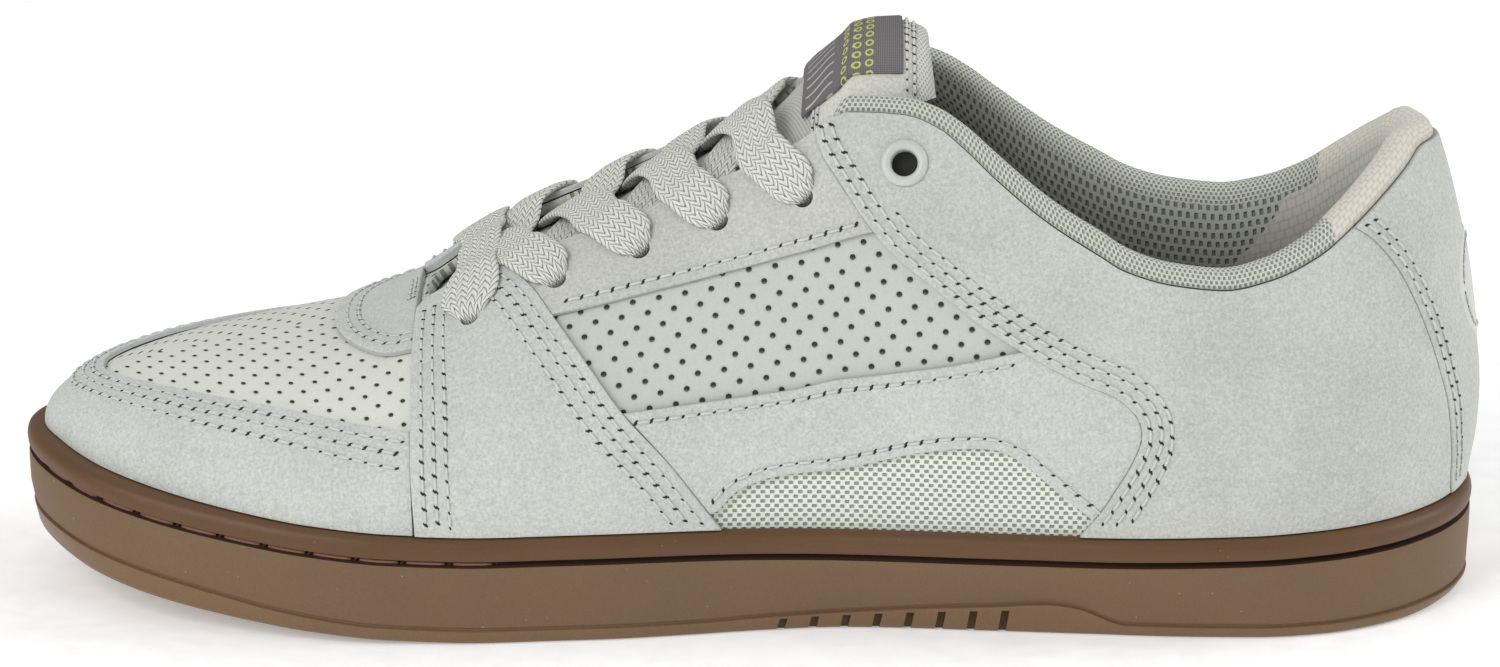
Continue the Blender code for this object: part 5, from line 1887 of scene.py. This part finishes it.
    def _grommet(self, place: Array, axis: Array, side: Side) -> None:
        """Seat a moulded ring in the sixth hole, with a near-black disc in its bore as painted
        shade.

        Args:
            place: Middle of the hole on the last's face.
            axis: Unit vector out of the skin.
            side: The side of the shoe.
        """
        lift = self.raised + 0.05 * MM
        bore, barrel, rim = self.grommet_bore, self.grommet_hole - 0.3 * MM, self.grommet_rim
        profile = np.array((
            (bore, -3.4 * MM), (barrel, -3.4 * MM), (barrel, lift), (rim, lift),
            (rim + 0.02 * MM, lift + 0.35 * MM), (rim - 0.35 * MM, lift + 0.75 * MM),
            (4.0 * MM, lift + 0.95 * MM), (3.35 * MM, lift + 0.90 * MM),
            (2.9 * MM, lift + 0.55 * MM), (bore, lift),
        ))
        cross = unit(np.cross(axis, (1.0, 0.0, 0.0)))
        third = np.cross(axis, cross)

        def spokes(count: int) -> list[Array]:
            """Unit vectors round the hole."""
            angles = np.linspace(0.0, FULL_TURN, count, endpoint=False)
            return [math.cos(angle) * cross + math.sin(angle) * third for angle in angles]

        rings = [place + np.outer(profile[:, 0], spoke) + np.outer(profile[:, 1], axis)
                 for spoke in spokes(40)]
        form = bmesh.new()
        sweep(form, np.array(rings), True, False)
        # A near-black disc behind the bore is painted shade.
        behind = place - axis * 2.3 * MM
        ring = [behind + bore * 1.05 * spoke for spoke in spokes(24)]
        bore_shade = form.faces.new([form.verts.new(point) for point in ring])
        bore_shade.material_index = 1
        f = self.finishes
        piece = self.maker.keep("sixth_ring_" + side.word, form, (f.resin, f.pinhole),
                                "grommet_resin", ("grommet_" + side.word,))
        split_sharp(piece, 50.0)


@dataclass
class Collar(Assembly):
    """The padded roll over the top edge, with its lining inside."""

    roll: float = 4.7 * MM
    free: float = 3.9 * MM
    end: float = 0.453
    fade: float = 0.130
    thin: float = 0.14
    short: float = 0.38
    stops: int = 130
    around: int = 44
    calm_rounds: int = 500
    calm_reach: float = 34.0
    pinch_rings: float = 4.0
    pinch: float = 0.75
    suede_sink: float = 0.25 * MM
    lining_from: float = 1.45

    def _calmed(self, rings: Array, depths: Array) -> Array:
        """Round the inner corner at the heel by drawing the rings towards their neighbours.

        Args:
            rings: Points by ring and place on the ring.
            depths: The profile's depths, as shares of the roll.

        Returns:
            The calmed rings.
        """
        calm = rings.copy()
        for _ in range(self.calm_rounds):
            calm[1:-1] = 0.25 * calm[:-2] + 0.5 * calm[1:-1] + 0.25 * calm[2:]
        at_heel = np.exp(-((np.arange(len(rings)) - self.stops + 1) / self.calm_reach) ** 2)
        inside = np.clip((depths - 0.2) / 1.2, 0.0, 1.0)
        return rings + (calm - rings) * (at_heel[:, None] * inside)[:, :, None]

    def build(self) -> None:
        """Sweep the roll along the top edge from one end to the other."""
        last = self.last
        profile = flowing(np.array(COLLAR_PROFILE), self.around, closed=True)
        end = turn_of(self.end)
        ahead = np.linspace(0.0, end, self.stops)
        turns = np.concatenate((np.linspace(end, 0.0, self.stops), ahead[1:]))
        sides = np.concatenate((np.full(self.stops, -1.0), np.full(self.stops - 1, 1.0)))
        tops = top_of(share_of(turns))
        fades = ease(0.0, 1.0, (end - turns) / self.fade)
        along, across = last.scales(turns, sides * (1.0 - tops))
        probe = 0.01
        near = top_of(share_of(np.minimum(turns + probe, end)))
        back = top_of(share_of(np.abs(turns - probe)))
        steep = np.abs((near - back) * across) / (2.0 * probe * along)
        steep = np.hypot(1.0, np.minimum(steep, 1.0))
        rings = []
        lies = []
        steps = run_of(profile) * self.roll / MM
        inner = float(steps[np.argmax(profile[:, 1] > self.lining_from)])
        for i, (turn, side) in enumerate(zip(turns, sides)):
            up = profile[:, 0] * self.roll
            short = self.short + (1.0 - self.short) * fades[i]
            up = np.where(up < 0.0, up * short, up * steep[i])
            deep = profile[:, 1] * self.roll
            thin = self.thin + (1.0 - self.thin) * fades[i]
            deep = np.where(deep > self.free, self.free + (deep - self.free) * thin, deep)
            deep = deep - self.suede_sink * (profile[:, 1] < 0.3)
            girth = side * (1.0 - tops[i] - up / across[i])
            rings.append(last.lay(np.full(len(girth), turn), girth, -deep))
            share = share_of(np.full(len(steps), turn))
            limit = np.where(steps > inner, 0.112 + 0.0032 * (steps - inner), 0.083)
            zone = ease(0.0, 0.005, share - np.minimum(limit, 0.170))
            lies.append(np.stack((np.zeros(len(steps)), steps, zone), axis=-1))
        placed = self._calmed(np.array(rings), profile[:, 1])
        for lie, place in zip(lies, run_of(placed[:, 4]) / MM):
            lie[:, 0] = place
        ease_in = 1.0 - ease(0.0, 1.0, np.arange(len(turns)) / self.pinch_rings)
        pinch = np.maximum(ease_in, ease_in[::-1]) * self.pinch
        placed = placed + (placed.mean(axis=1)[:, None] - placed) * pinch[:, None, None]
        form = bmesh.new()
        sweep(form, placed, False, True, np.array(lies))
        layer = form.verts.layers.float_vector["lie"]
        for face in form.faces:
            around = sum(vert[layer].y for vert in face.verts) / len(face.verts)
            face.material_index = 1 if around > inner else 0
        f = self.finishes
        piece = self.maker.keep("collar_roll", form, (f.roll, f.lining), "collar_knit", ("collar",))


@dataclass
class Tongue(Assembly):
    """The padded tongue: cloth, a suede patch, a rolled cloth end and a woven label."""

    depth: float = 5.0 * MM
    wall: float = 6.0 * MM
    rim: float = 2.2 * MM
    rows: int = 150
    columns: int = 48
    patch: tuple[float, float] = (0.388, 0.4675)
    patch_wall: float = 0.7 * MM
    label_share: tuple[float, float] = (0.4725, 0.3935)
    label_reach: float = 0.165
    label_rise: float = 1.10 * MM
    end_rings: float = 8.4
    seam_reach: float = 0.92
    seam_pitch: float = 2.2 * MM

    @staticmethod
    def reach(shares: Array) -> Array:
        """Half width of the tongue at shares of the length, as a share of the girth."""
        return smooth(column(TONGUE_ROWS, 0)[::-1], column(TONGUE_ROWS, 1)[::-1], shares)

    def surface(self, shares: Array, across: Array, lift: float = 0.0) -> Array:
        """Points of the outer face at shares of the length and of the half width.

        Args:
            shares: Shares of the length, in order.
            across: Shares of the half width, one row for all or a row for each share.
            lift: Height over the face.

        Returns:
            A grid of points.
        """
        order = column(TONGUE_ROWS, 0)[::-1]
        middle = smooth(order, column(TONGUE_ROWS, 2)[::-1], shares)[:, None]
        edge = smooth(order, column(TONGUE_ROWS, 3)[::-1], shares)[:, None]
        t = np.broadcast_to(np.atleast_2d(across), (len(shares), np.shape(across)[-1]))
        deep = self.depth * (middle + (edge - middle) * np.abs(t) ** 3) - lift
        turns = np.array([turn_of(share) for share in shares])[:, None] + np.zeros(t.shape)
        girth = t * self.reach(shares)[:, None]
        return self.last.lay(turns.ravel(), girth.ravel(), -deep.ravel()).reshape(t.shape + (3,))

    @staticmethod
    def normals(grid: Array) -> Array:
        """Outward normals of a grid of the outer face."""
        made = unit(np.cross(np.gradient(grid, axis=0), np.gradient(grid, axis=1)))
        return made * np.sign(made[:, :, 2])[:, :, None]

    def build(self) -> None:
        """The tongue, its cloth end, its seams and its label."""
        f = self.finishes
        shares = np.linspace(TONGUE_ROWS[0][0], TONGUE_ROWS[-1][0], self.rows)
        across = np.sin(np.linspace(-0.5, 0.5, self.columns + 1) * math.pi)
        grid = self.surface(shares, across)
        ups = self.normals(grid)
        t = np.abs(across)
        steps = np.arange(self.rows)
        near_end = ((steps - (self.rows - 9)) / self.end_rings).clip(0.0, 1.0)
        end = np.sqrt(np.clip(1.0 - near_end ** 2, 0.0, 1.0))
        low, high = self.patch
        soft = 0.0015
        patch = ease(high + soft, high - soft, shares) * ease(low - soft, low + soft, shares)
        run = run_of(grid[:, self.columns // 2])
        rings, lies = [], []
        for i in range(self.rows):
            deep = self.rim + (self.wall - self.rim) * np.sqrt(np.maximum(1.0 - t * t, 0.0))
            soft = deep * 0.5
            edge = np.sqrt(np.maximum(1.0 - t ** 12, 0.0))
            middle = grid[i] - ups[i] * soft[:, None]
            over = (patch[i] * self.patch_wall * (1.0 - t ** 12))[:, None] * ups[i]
            lift = (soft * edge * end[i])[:, None] * ups[i]
            rings.append(np.vstack((middle + lift + over, (middle - lift)[::-1])))
            side = run_of(grid[i])
            side = side - side[self.columns // 2]
            flat = (np.full(len(across), run[i]), side, np.zeros(len(across)))
            flat = np.stack(flat, axis=-1) / MM
            lies.append(np.vstack((flat, flat[::-1])))
        form = bmesh.new()
        sweep(form, np.array(rings), False, True, np.array(lies))
        form.verts.ensure_lookup_table()
        form.verts.index_update()
        size = 2 * (self.columns + 1)
        for face in form.faces:
            row = min(vert.index // size for vert in face.verts)
            places = [vert.index % size for vert in face.verts]
            top = max(places) <= self.columns
            face.material_index = 0 if (low < shares[row] < high and top) else 1
        piece = self.maker.keep("padded_tongue", form, (f.tongue, f.edging), "tongue_suede",
                                ("tongue",))
        self._label()
        seam = Seam()
        across = np.linspace(-self.seam_reach, self.seam_reach, 50)
        over = self.patch_wall + 0.05 * MM
        for share, lift in ((0.3905, over), (0.4650, over), (0.4625, over), (0.3850, 0.1 * MM)):
            line = self.surface(share + 0.002 * np.array([-1.0, 0.0, 1.0]), across, lift)
            seam.sew(line[1], self.normals(line)[1], self.seam_pitch)
        seam.finish("tongue_stitches", (f.thread, f.pinhole), "tongue_suede")

    def _label(self) -> None:
        """Weave the label across the top of the tongue."""
        shares = np.linspace(self.label_share[0], self.label_share[1], 36)
        places = np.linspace(-1.0, 1.0, 40)
        across = places[None, :] * (self.label_reach / self.reach(shares))[:, None]
        grid = self.surface(shares, across, self.patch_wall)
        ups = self.normals(grid)
        mid = len(places) // 2
        run = run_of(grid[:, mid]) / MM
        rings, lies = [], []
        for i in range(len(shares)):
            reach = run_of(grid[i]) / MM
            fall = 0.45 * MM * (1.0 - np.sqrt(1.0 - np.abs(places) ** 24))
            near_end = min(i, len(shares) - 1 - i)
            fall = fall + (0.3 * MM if near_end == 0 else 0.0)
            top = grid[i] + ups[i] * (self.label_rise - fall)[:, None]
            low = grid[i] + ups[i] * 0.1 * MM
            rings.append(np.vstack((top, low[::-1])))
            flat = (np.full(len(places), run[i]), reach - reach[mid], np.zeros(len(places)))
            flat = np.stack(flat, axis=-1)
            lies.append(np.vstack((flat, flat[::-1])))
        form = bmesh.new()
        sweep(form, np.array(rings), False, True, np.array(lies))
        piece = self.maker.keep("woven_label", form, (self.finishes.label,), "label_weave",
                                ("tongue_label",))
        split_sharp(piece, 60.0)


LaceRow = tuple[Array, Array, float]


@dataclass
class Laces(Assembly):
    """One flat lace: a bar over the first holes and four crossings above it."""

    half: float = 5.4 * MM
    thick: float = 1.10 * MM
    far_sink: float = 0.8
    bar_lean: float = -0.004
    bar_arch: float = 1.6 * MM
    bar_spread: float = 0.30
    trusted: float = 0.55
    sides: int = 26
    steps: int = 96

    def _row(self, share: float, girth: float, lift: float, width: float) -> LaceRow:
        """Work out one point of a lace's path.

        Args:
            share: Share of the length.
            girth: Signed girth share.
            lift: Distance from the last in mm.
            width: Share of the lace's full width.

        Returns:
            The point, the way up there and the width.
        """
        turn, place = np.array([turn_of(share)]), np.array([girth])
        point = self.last.lay(turn, place, np.array([lift * MM]))[0]
        above = self.last.lay(turn, place, np.array([(lift + 1.0) * MM]))[0]
        return point, (above - point) / MM, width

    def _end(self, hole: tuple[float, ...], pitch: float, side: float,
             spread: float = 0.0) -> list[LaceRow]:
        """Lead a lace over the throat's edge, over its hole and into it.

        Args:
            hole: Place of the hole.
            pitch: Distance to the next hole, as a share of the length.
            side: Sign of the side's girth.
            spread: Share by which the lace is wider on the eyestay.

        Returns:
            The rows of the path.
        """
        share, up = hole
        edge = float(top_of(np.array([share]))[0])
        rows = []
        for down, back, lift, width in LACE_END:
            wide = 1.0 + spread * float(ease(-0.1, 0.4, down)) * float(ease(0.95, 0.75, down))
            sink = self.far_sink * float(ease(0.6, -0.1, down)) if side > 0.0 else 0.0
            girth = side * (1.0 - edge - (up - edge) * down)
            rows.append(self._row(share + back * pitch, girth, lift - sink, width * wide))
        return rows

    def _strand(self, form: Form, rows: Sequence[LaceRow]) -> None:
        """Sweep the flat lace along a path.

        Args:
            form: The bmesh to add to.
            rows: The rows of the path.
        """
        knots = np.array([point for point, _, _ in rows]) / MM
        points = flowing(knots, self.steps) * MM
        steps = run_of(knots)
        at = np.linspace(0.0, steps[-1], self.steps)
        ups = [np.interp(at, steps, [row[1][k] for row in rows]) for k in range(3)]
        ups = np.stack(ups, axis=-1)
        wides = np.interp(at, steps, [row[2] for row in rows])
        wides = np.convolve(np.pad(wides, 2, mode="edge"), np.ones(5) / 5.0, mode="valid")
        way = unit(np.gradient(points, axis=0))
        cross = np.cross(way, ups)
        length = np.linalg.norm(cross, axis=1)
        good = length > self.trusted
        spots = np.arange(self.steps)
        cross = cross / length[:, None]
        cross = [np.interp(spots, spots[good], cross[good, k]) for k in range(3)]
        cross = np.stack(cross, axis=-1)
        cross = unit(cross - way * np.sum(cross * way, axis=1)[:, None])
        tops = np.cross(cross, way)
        angles = FULL_TURN * (np.arange(self.sides) + 0.5) / self.sides
        out = np.sign(np.cos(angles)) * np.abs(np.cos(angles)) ** 0.70
        high = np.sin(angles)
        run = run_of(points) / MM
        rings, lies = [], []
        for point, side, top, wide, far in zip(points, cross, tops, wides, run):
            tall = self.thick * (0.86 + 0.24 * (1.0 - min(wide, 1.0)))
            across = np.outer(out * self.half * wide, side)
            rings.append(point + across + np.outer(high * tall, top))
            lie = (out, np.full(self.sides, far), np.full(self.sides, wide))
            lies.append(np.stack(lie, axis=-1))
        sweep(form, np.array(rings), False, True, np.array(lies))

    def build(self) -> None:
        """Lay the bar and the crossings."""
        near = self._end(EYELETS[0], self.bar_lean, -1.0, self.bar_spread)
        far = self._end(EYELETS[0], self.bar_lean, 1.0, self.bar_spread)
        middle = 0.5 * (near[0][0] + far[0][0]) + np.array([0.0, 0.0, self.bar_arch])
        form = bmesh.new()
        self._strand(form, near[::-1] + [(middle, near[0][1] + far[0][1], 1.0)] + far)
        self.maker.keep("lace_first_bar", form, (self.finishes.braid,), "lace_braid", ("lace_bar",))
        for k, (low, high) in enumerate(zip(EYELETS, EYELETS[1:])):
            pitch = low[0] - high[0]
            form = bmesh.new()
            for side, layer in ((-1.0, 3), (1.0, 2)):
                rows = [self._row(low[0] - row[0] * pitch, side * row[1], row[layer], 1.0)
                        for row in CROSSING]
                self._strand(form, rows + self._end(high, pitch, side))
            name = "lace_cross_%d" % (k + 1)
            self.maker.keep("lace_over_%d" % (k + 1), form, (self.finishes.braid,), "lace_braid",
                            (name,))


# Lines of the sole's wall. A height from 0 to 1 is a share of the sole's height. A height
# from -1 down is the step's edge and how far it stands over it. Then the inset in grooves,
# the share of the arch's undercut and the share of the lower bevel.
WALL: Rows = (
    (0.000, 1.30, 1.00, 1.10), (0.008, 0.92, 1.00, 0.92), (0.022, 0.62, 1.00, 0.76),
    (0.045, 0.42, 1.00, 0.60), (0.072, 0.32, 0.97, 0.46), (-0.985, 0.22, 0.87, 0.22),
    (-0.998, 0.24, 0.85, 0.20), (-1.004, 0.36, 0.85, 0.20), (-1.010, 0.60, 0.84, 0.19),
    (-1.026, 0.62, 0.82, 0.18), (-1.036, 0.42, 0.80, 0.16), (-1.060, 0.38, 0.74, 0.12),
    (0.450, 0.27, 0.40, 0.00), (0.560, 0.19, 0.24, 0.00), (0.660, 0.14, 0.08, 0.00),
    (0.720, 0.13, 0.00, 0.00), (0.740, 0.20, 0.00, 0.00), (0.749, 0.55, 0.00, 0.00),
    (0.757, 1.00, 0.00, 0.00), (0.771, 1.25, 0.00, 0.00), (0.785, 1.00, 0.00, 0.00),
    (0.793, 0.50, 0.00, 0.00), (0.803, 0.16, 0.00, 0.00), (0.825, 0.03, 0.00, 0.00),
    (0.880, -0.05, 0.00, 0.00), (0.920, 0.02, 0.00, 0.00), (0.952, 0.18, 0.00, 0.00),
    (0.976, 0.42, 0.00, 0.00), (0.992, 0.74, 0.00, 0.00), (1.000, 1.10, 0.00, 0.00),
)
# The arch at shares of the length: height of the step on the medial and the lateral side,
# as shares of the sole's height, and the share of the undercut on each.
ARCH: Rows = (
    (0.000, 0.130, 0.130, 0.00, 0.00), (0.100, 0.110, 0.110, 0.20, 0.10),
    (0.170, 0.115, 0.115, 0.60, 0.25), (0.241, 0.125, 0.120, 0.95, 0.40),
    (0.257, 0.200, 0.120, 1.00, 0.42), (0.268, 0.260, 0.120, 1.00, 0.44),
    (0.292, 0.300, 0.120, 1.00, 0.45), (0.323, 0.270, 0.120, 1.00, 0.45),
    (0.371, 0.230, 0.120, 1.00, 0.45), (0.438, 0.170, 0.120, 0.85, 0.38),
    (0.486, 0.145, 0.120, 0.50, 0.22), (0.540, 0.125, 0.120, 0.15, 0.05),
    (0.600, 0.125, 0.125, 0.00, 0.00), (0.755, 0.135, 0.135, 0.00, 0.00),
    (0.820, 0.170, 0.170, 0.00, 0.00), (0.886, 0.220, 0.220, 0.00, 0.00),
    (1.000, 0.250, 0.250, 0.00, 0.00),
)
# Rows of cross grooves: start as a share of the length, pitch in metres and count.
TREADS: Rows = ((0.100, 0.014, 4), (0.560, 0.014, 8))


@dataclass
class Sole(Assembly):
    """The gum cupsole with its bead, groove, stepped band, ribs and tread."""

    groove: float = 1.6 * MM
    undercut: float = 5.5 * MM
    bevel: float = 3.2 * MM
    cup_lift: float = -1.2 * MM
    slot_first: float = 0.325
    slot_pitch: float = 6.5 * MM
    slot_width: float = 1.6 * MM
    slot_depth: float = 2.6 * MM
    slot_count: int = 8
    slot_shear: float = 1.0 * MM
    slot_reach: float = 4.0 * MM
    slot_top: float = 0.86
    tread_half: float = 1.3 * MM
    tread_inset: float = 12.0 * MM
    tread_depth: float = 1.8 * MM
    sharp_edge: float = 38.0
    footbed_lift: float = -3.5 * MM
    stitch_height: float = 0.771
    stitch_inset: float = 0.80
    stitch_from: float = 0.672
    stitch_pitch: float = 9.6 * MM
    stations: int = 150

    def ring(self, height: float, inset: float, under: float, bevel: float) -> Array:
        """Draw one closed line of the wall, from heel to toe on the medial side and back.

        Args:
            height: Height or place at the step, as in the wall's table.
            inset: Inset in grooves.
            under: Share of the arch's undercut.
            bevel: Share of the lower bevel.

        Returns:
            The points.
        """
        shares = share_of(np.linspace(0.0, 1.0, self.stations + 1))
        halves = []
        for side, step_at, cut_at in ((-1.0, 1, 3), (1.0, 2, 4)):
            toe = np.clip((shares - 0.90) / 0.10, 0.0, 1.0)
            heel = np.clip((0.04 - shares) / 0.04, 0.0, 1.0)
            extra = bevel * self.bevel * (toe * toe + 0.5 * heel)
            along, centre, half = self.last.shrunk(shares, inset * self.groove + extra)
            cut = smooth(column(ARCH, 0), column(ARCH, cut_at), shares)
            half = np.maximum(half - under * cut * self.undercut, 0.0)
            level = np.full(len(shares), height)
            if height < 0.0:
                level = smooth(column(ARCH, 0), column(ARCH, step_at), shares) - height - 1.0
            z = level * self.last.sole_height + self.last.spring(along)
            x = self.last.length / 2.0 - along
            halves.append(np.stack((x, centre + side * half, z), axis=-1))
        return np.vstack((halves[0], halves[1][-2:0:-1]))

    def inside(self, lift: float, height: float) -> Array:
        """Draw a closed line beside the foot of the last.

        Args:
            lift: Distance from the last's face.
            height: Height over the floor, before toe spring.

        Returns:
            The points.
        """
        turns = np.linspace(0.0, 1.0, self.stations + 1)
        halves = []
        for side in (-1.0, 1.0):
            line = self.last.lay(turns, np.full(len(turns), side), np.full(len(turns), lift))
            skin = self.last.lay(turns, np.full(len(turns), side), np.zeros(len(turns)))
            line[:, 2] = height + self.last.spring(self.last.length / 2.0 - skin[:, 0])
            halves.append(line)
        return np.vstack((halves[0], halves[1][-2:0:-1]))

    def _plate(self, form: Form, row: Sequence[Vert], index: int) -> None:
        """Close a line with strips across the foot.

        Args:
            form: The bmesh to add to.
            row: Vertices of the line.
            index: Material index of the faces.
        """
        count = len(row)
        for k in range(self.stations):
            corners = []
            across = (row[(count - k - 1) % count], row[(count - k) % count])
            for vert in (row[k], row[k + 1], *across):
                if vert not in corners:
                    corners.append(vert)
            if len(corners) > 2:
                form.faces.new(corners).material_index = index

    def _stack(self, form: Form, rings: Sequence[Array], indices: Sequence[int]) -> None:
        """Skin stacked closed lines, with a plate at each end.

        Args:
            form: The bmesh to add to.
            rings: Points of the lines, in order.
            indices: Material index of each skin between two lines.
        """
        rows = [[form.verts.new(point) for point in ring] for ring in rings]
        for low, high, index in zip(rows, rows[1:], indices):
            join_rows(form, low, high, index)
        self._plate(form, rows[0], indices[0])
        self._plate(form, rows[-1], indices[-1])

    def build(self) -> None:
        """The sole, its stitches in the groove and the insole."""
        f = self.finishes
        last = self.last
        rings = [self.ring(*row) for row in WALL]
        rings += [self.inside(self.cup_lift, up) for up in (last.sole_height, last.floor_height)]
        # Index 3 marks the groove's faces, whose colour is painted shade.
        indices = []
        for low, high in zip(WALL, WALL[1:]):
            if high[0] < 0.0 or 0.0 <= low[0] < 0.08:
                index = 2 if high[0] > -1.02 or low[0] > 0.0 else 0
            elif low[0] > 0.0 and 0.745 < high[0] and low[0] < 0.795:
                index = 3
            else:
                index = 1 if low[0] > 0.79 else 0
            indices.append(index)
        indices += [1, 1]
        form = bmesh.new()
        self._stack(form, rings, indices)
        piece = self.maker.keep("cupsole", form, (f.foxing, f.bead, f.band, f.groove),
                                "gum_rubber", ("sole",))
        self.maker.punch(piece, self._cutters())
        split_sharp(piece, self.sharp_edge)
        self._groove_stitches()
        edge = self.footbed_lift - last.seam_gap
        floor = last.floor_height + last.seam_gap
        form = bmesh.new()
        levels = ((edge, 0.0), (edge, 3.9), (edge - 0.25 * MM, 4.3), (edge - 0.8 * MM, 4.5))
        self._stack(form, [self.inside(lift, floor + up * MM) for lift, up in levels], (0, 0, 0, 0))
        self.maker.keep("footbed", form, (f.footbed,), "insole_cloth", ("insole",))

    def _cutters(self) -> list[Piece]:
        """Box out the slots between the arch's ribs and the grooves of the tread.

        Returns:
            The cutter.
        """
        last = self.last
        form = bmesh.new()

        def block(low: Sequence[float], high: Sequence[float], shear: float = 0.0) -> None:
            """Add one box.

            Args:
                low: Its lowest corner.
                high: Its highest corner.
                shear: Distance by which its top is moved along the length.
            """
            made = bmesh.ops.create_cube(form, size=1.0)["verts"]
            for vert in made:
                top = vert.co.z > 0.0
                spot = [low[k] if vert.co[k] < 0.0 else high[k] for k in range(3)]
                vert.co = (spot[0] + (shear if top else 0.0), spot[1], spot[2])

        for k in range(self.slot_count):
            along = self.slot_first * last.length + k * self.slot_pitch
            share = np.array([along / last.length])
            _, centre, half = last.shrunk(share, np.zeros(1))
            cut = float(smooth(column(ARCH, 0), column(ARCH, 3), share)[0])
            step = float(smooth(column(ARCH, 0), column(ARCH, 1), share)[0]) * last.sole_height
            face = float(centre[0] - half[0]) + self.undercut * cut
            x = last.length / 2.0 - along
            block((x - self.slot_width / 2.0, face - self.slot_reach, -self.slot_shear),
                  (x + self.slot_width / 2.0, face + self.slot_depth, step * self.slot_top),
                  self.slot_shear)
        for start, pitch, count in TREADS:
            for k in range(int(count)):
                along = start * last.length + k * pitch
                _, centre, half = last.shrunk(np.array([along / last.length]),
                                              np.array([self.tread_inset]))
                x = last.length / 2.0 - along
                lift = float(last.spring(np.array([along]))[0])
                block((x - self.tread_half, float(centre[0] - half[0]), lift - self.slot_reach),
                      (x + self.tread_half, float(centre[0] + half[0]), lift + self.tread_depth))
        return [self.maker.tool(form)]

    def _groove_stitches(self) -> None:
        """Long stitches that hold the cup to the upper, in the groove round the toe."""
        ring = self.ring(self.stitch_height, self.stitch_inset, 0.0, 0.0)
        low = int(turn_of(self.stitch_from) * self.stations)
        high = len(ring) - low
        path = ring[low:high]
        outward = path - path.mean(axis=0)
        outward[:, 2] = 0.0
        seam = Seam(thread=0.42 * MM, hole=0.30 * MM)
        seam.sew(path, unit(outward), self.stitch_pitch)
        f = self.finishes
        # The groove's colour paints the stitch holes as shade.
        seam.finish("groove_stitches", (f.sole_thread, f.groove), "gum_rubber")


@dataclass
class Studio:
    """Plain pale floor, soft lights and the camera at the photo's angle."""

    turn_degrees: float = 1.5
    rise_degrees: float = 18.0
    distance: float = 2.2
    target: tuple[float, float, float] = (0.0, 0.0, 0.051)
    focal_pixels: float = 10604.0
    frame_pixels: float = 1500.0
    sensor: float = 36.0
    aim: tuple[float, float, float] = (0.0, 0.0, 0.04)
    floor_size: float = 6.0
    sky: float = 0.43
    floor_glow: float = 0.28

    def camera(self) -> None:
        """Place the camera."""
        a, e = math.radians(self.turn_degrees), math.radians(self.rise_degrees)
        back = Vector((math.sin(a) * math.cos(e), -math.cos(a) * math.cos(e), math.sin(e)))
        data = bpy.data.cameras.new("camera")
        data.sensor_width = self.sensor
        data.lens = self.sensor * self.focal_pixels / self.frame_pixels
        data.clip_end = 20.0
        camera = put("camera", data)
        camera.location = Vector(self.target) + back * self.distance
        camera.rotation_euler = back.to_track_quat("Z", "Y").to_euler()
        bpy.context.scene.camera = camera

    def light(self, name: str, spot: tuple[float, float, float], size: float,
              watts: float) -> None:
        """Hang one soft light aimed at the shoe.

        Args:
            name: Its name.
            spot: Its place.
            size: Width of its square.
            watts: Its power.
        """
        data = bpy.data.lights.new(name, "AREA")
        data.size = size
        data.energy = watts
        lamp = put(name, data)
        lamp.location = spot
        back = Vector(spot) - Vector(self.aim)
        lamp.rotation_euler = back.to_track_quat("Z", "Y").to_euler()

    def build(self) -> None:
        """Floor, world, lights and view."""
        form = bmesh.new()
        bmesh.ops.create_grid(form, x_segments=1, y_segments=1, size=self.floor_size)
        mesh = bpy.data.meshes.new("floor")
        form.to_mesh(mesh)
        form.free()
        paper = Plain("floor_paper", (0.93, 0.93, 0.93), 0.9, 0.0, 5.0, 0.1).make()
        shader = paper.node_tree.nodes["Principled BSDF"]
        shader.inputs["Emission Color"].default_value = (1.0, 1.0, 1.0, 1.0)
        shader.inputs["Emission Strength"].default_value = self.floor_glow
        mesh.materials.append(paper)
        floor = put("floor", mesh)
        floor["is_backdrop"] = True
        world = bpy.data.worlds.new("studio")
        world.use_nodes = True
        background = world.node_tree.nodes["Background"]
        background.inputs[0].default_value = (1.0, 1.0, 1.0, 1.0)
        background.inputs[1].default_value = self.sky
        bpy.context.scene.world = world
        self.light("key", (-1.2, -1.5, 1.3), 1.3, 24.5)
        self.light("fill", (1.5, -1.2, 0.9), 1.4, 2.6)
        self.light("rim", (1.7, 0.25, 0.9), 1.0, 11.0)
        self.light("top", (0.1, 0.5, 2.0), 1.6, 4.0)
        view = bpy.context.scene.view_settings
        view.view_transform = "Standard"
        view.look = "None"


def main() -> None:
    """Build the shoe's classes in order."""
    logging.basicConfig(level=logging.INFO, format="%(message)s")
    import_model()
    studio = Studio()
    studio.camera()
    studio.build()
    maker = Maker()
    finishes = Finishes()
    last = Last()
    upper = Upper(last, maker, finishes)
    base = upper.build_base()
    panels = upper.build_panels()
    upper.build_holes(base, panels)
    upper.build_seams()
    Collar(last, maker, finishes).build()
    Tongue(last, maker, finishes).build()
    Laces(last, maker, finishes).build()
    Sole(last, maker, finishes).build()
    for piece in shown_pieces():
        LOG.info("%s: %d faces", piece.name, len(piece.data.polygons))


if __name__ == "__main__":
    main()
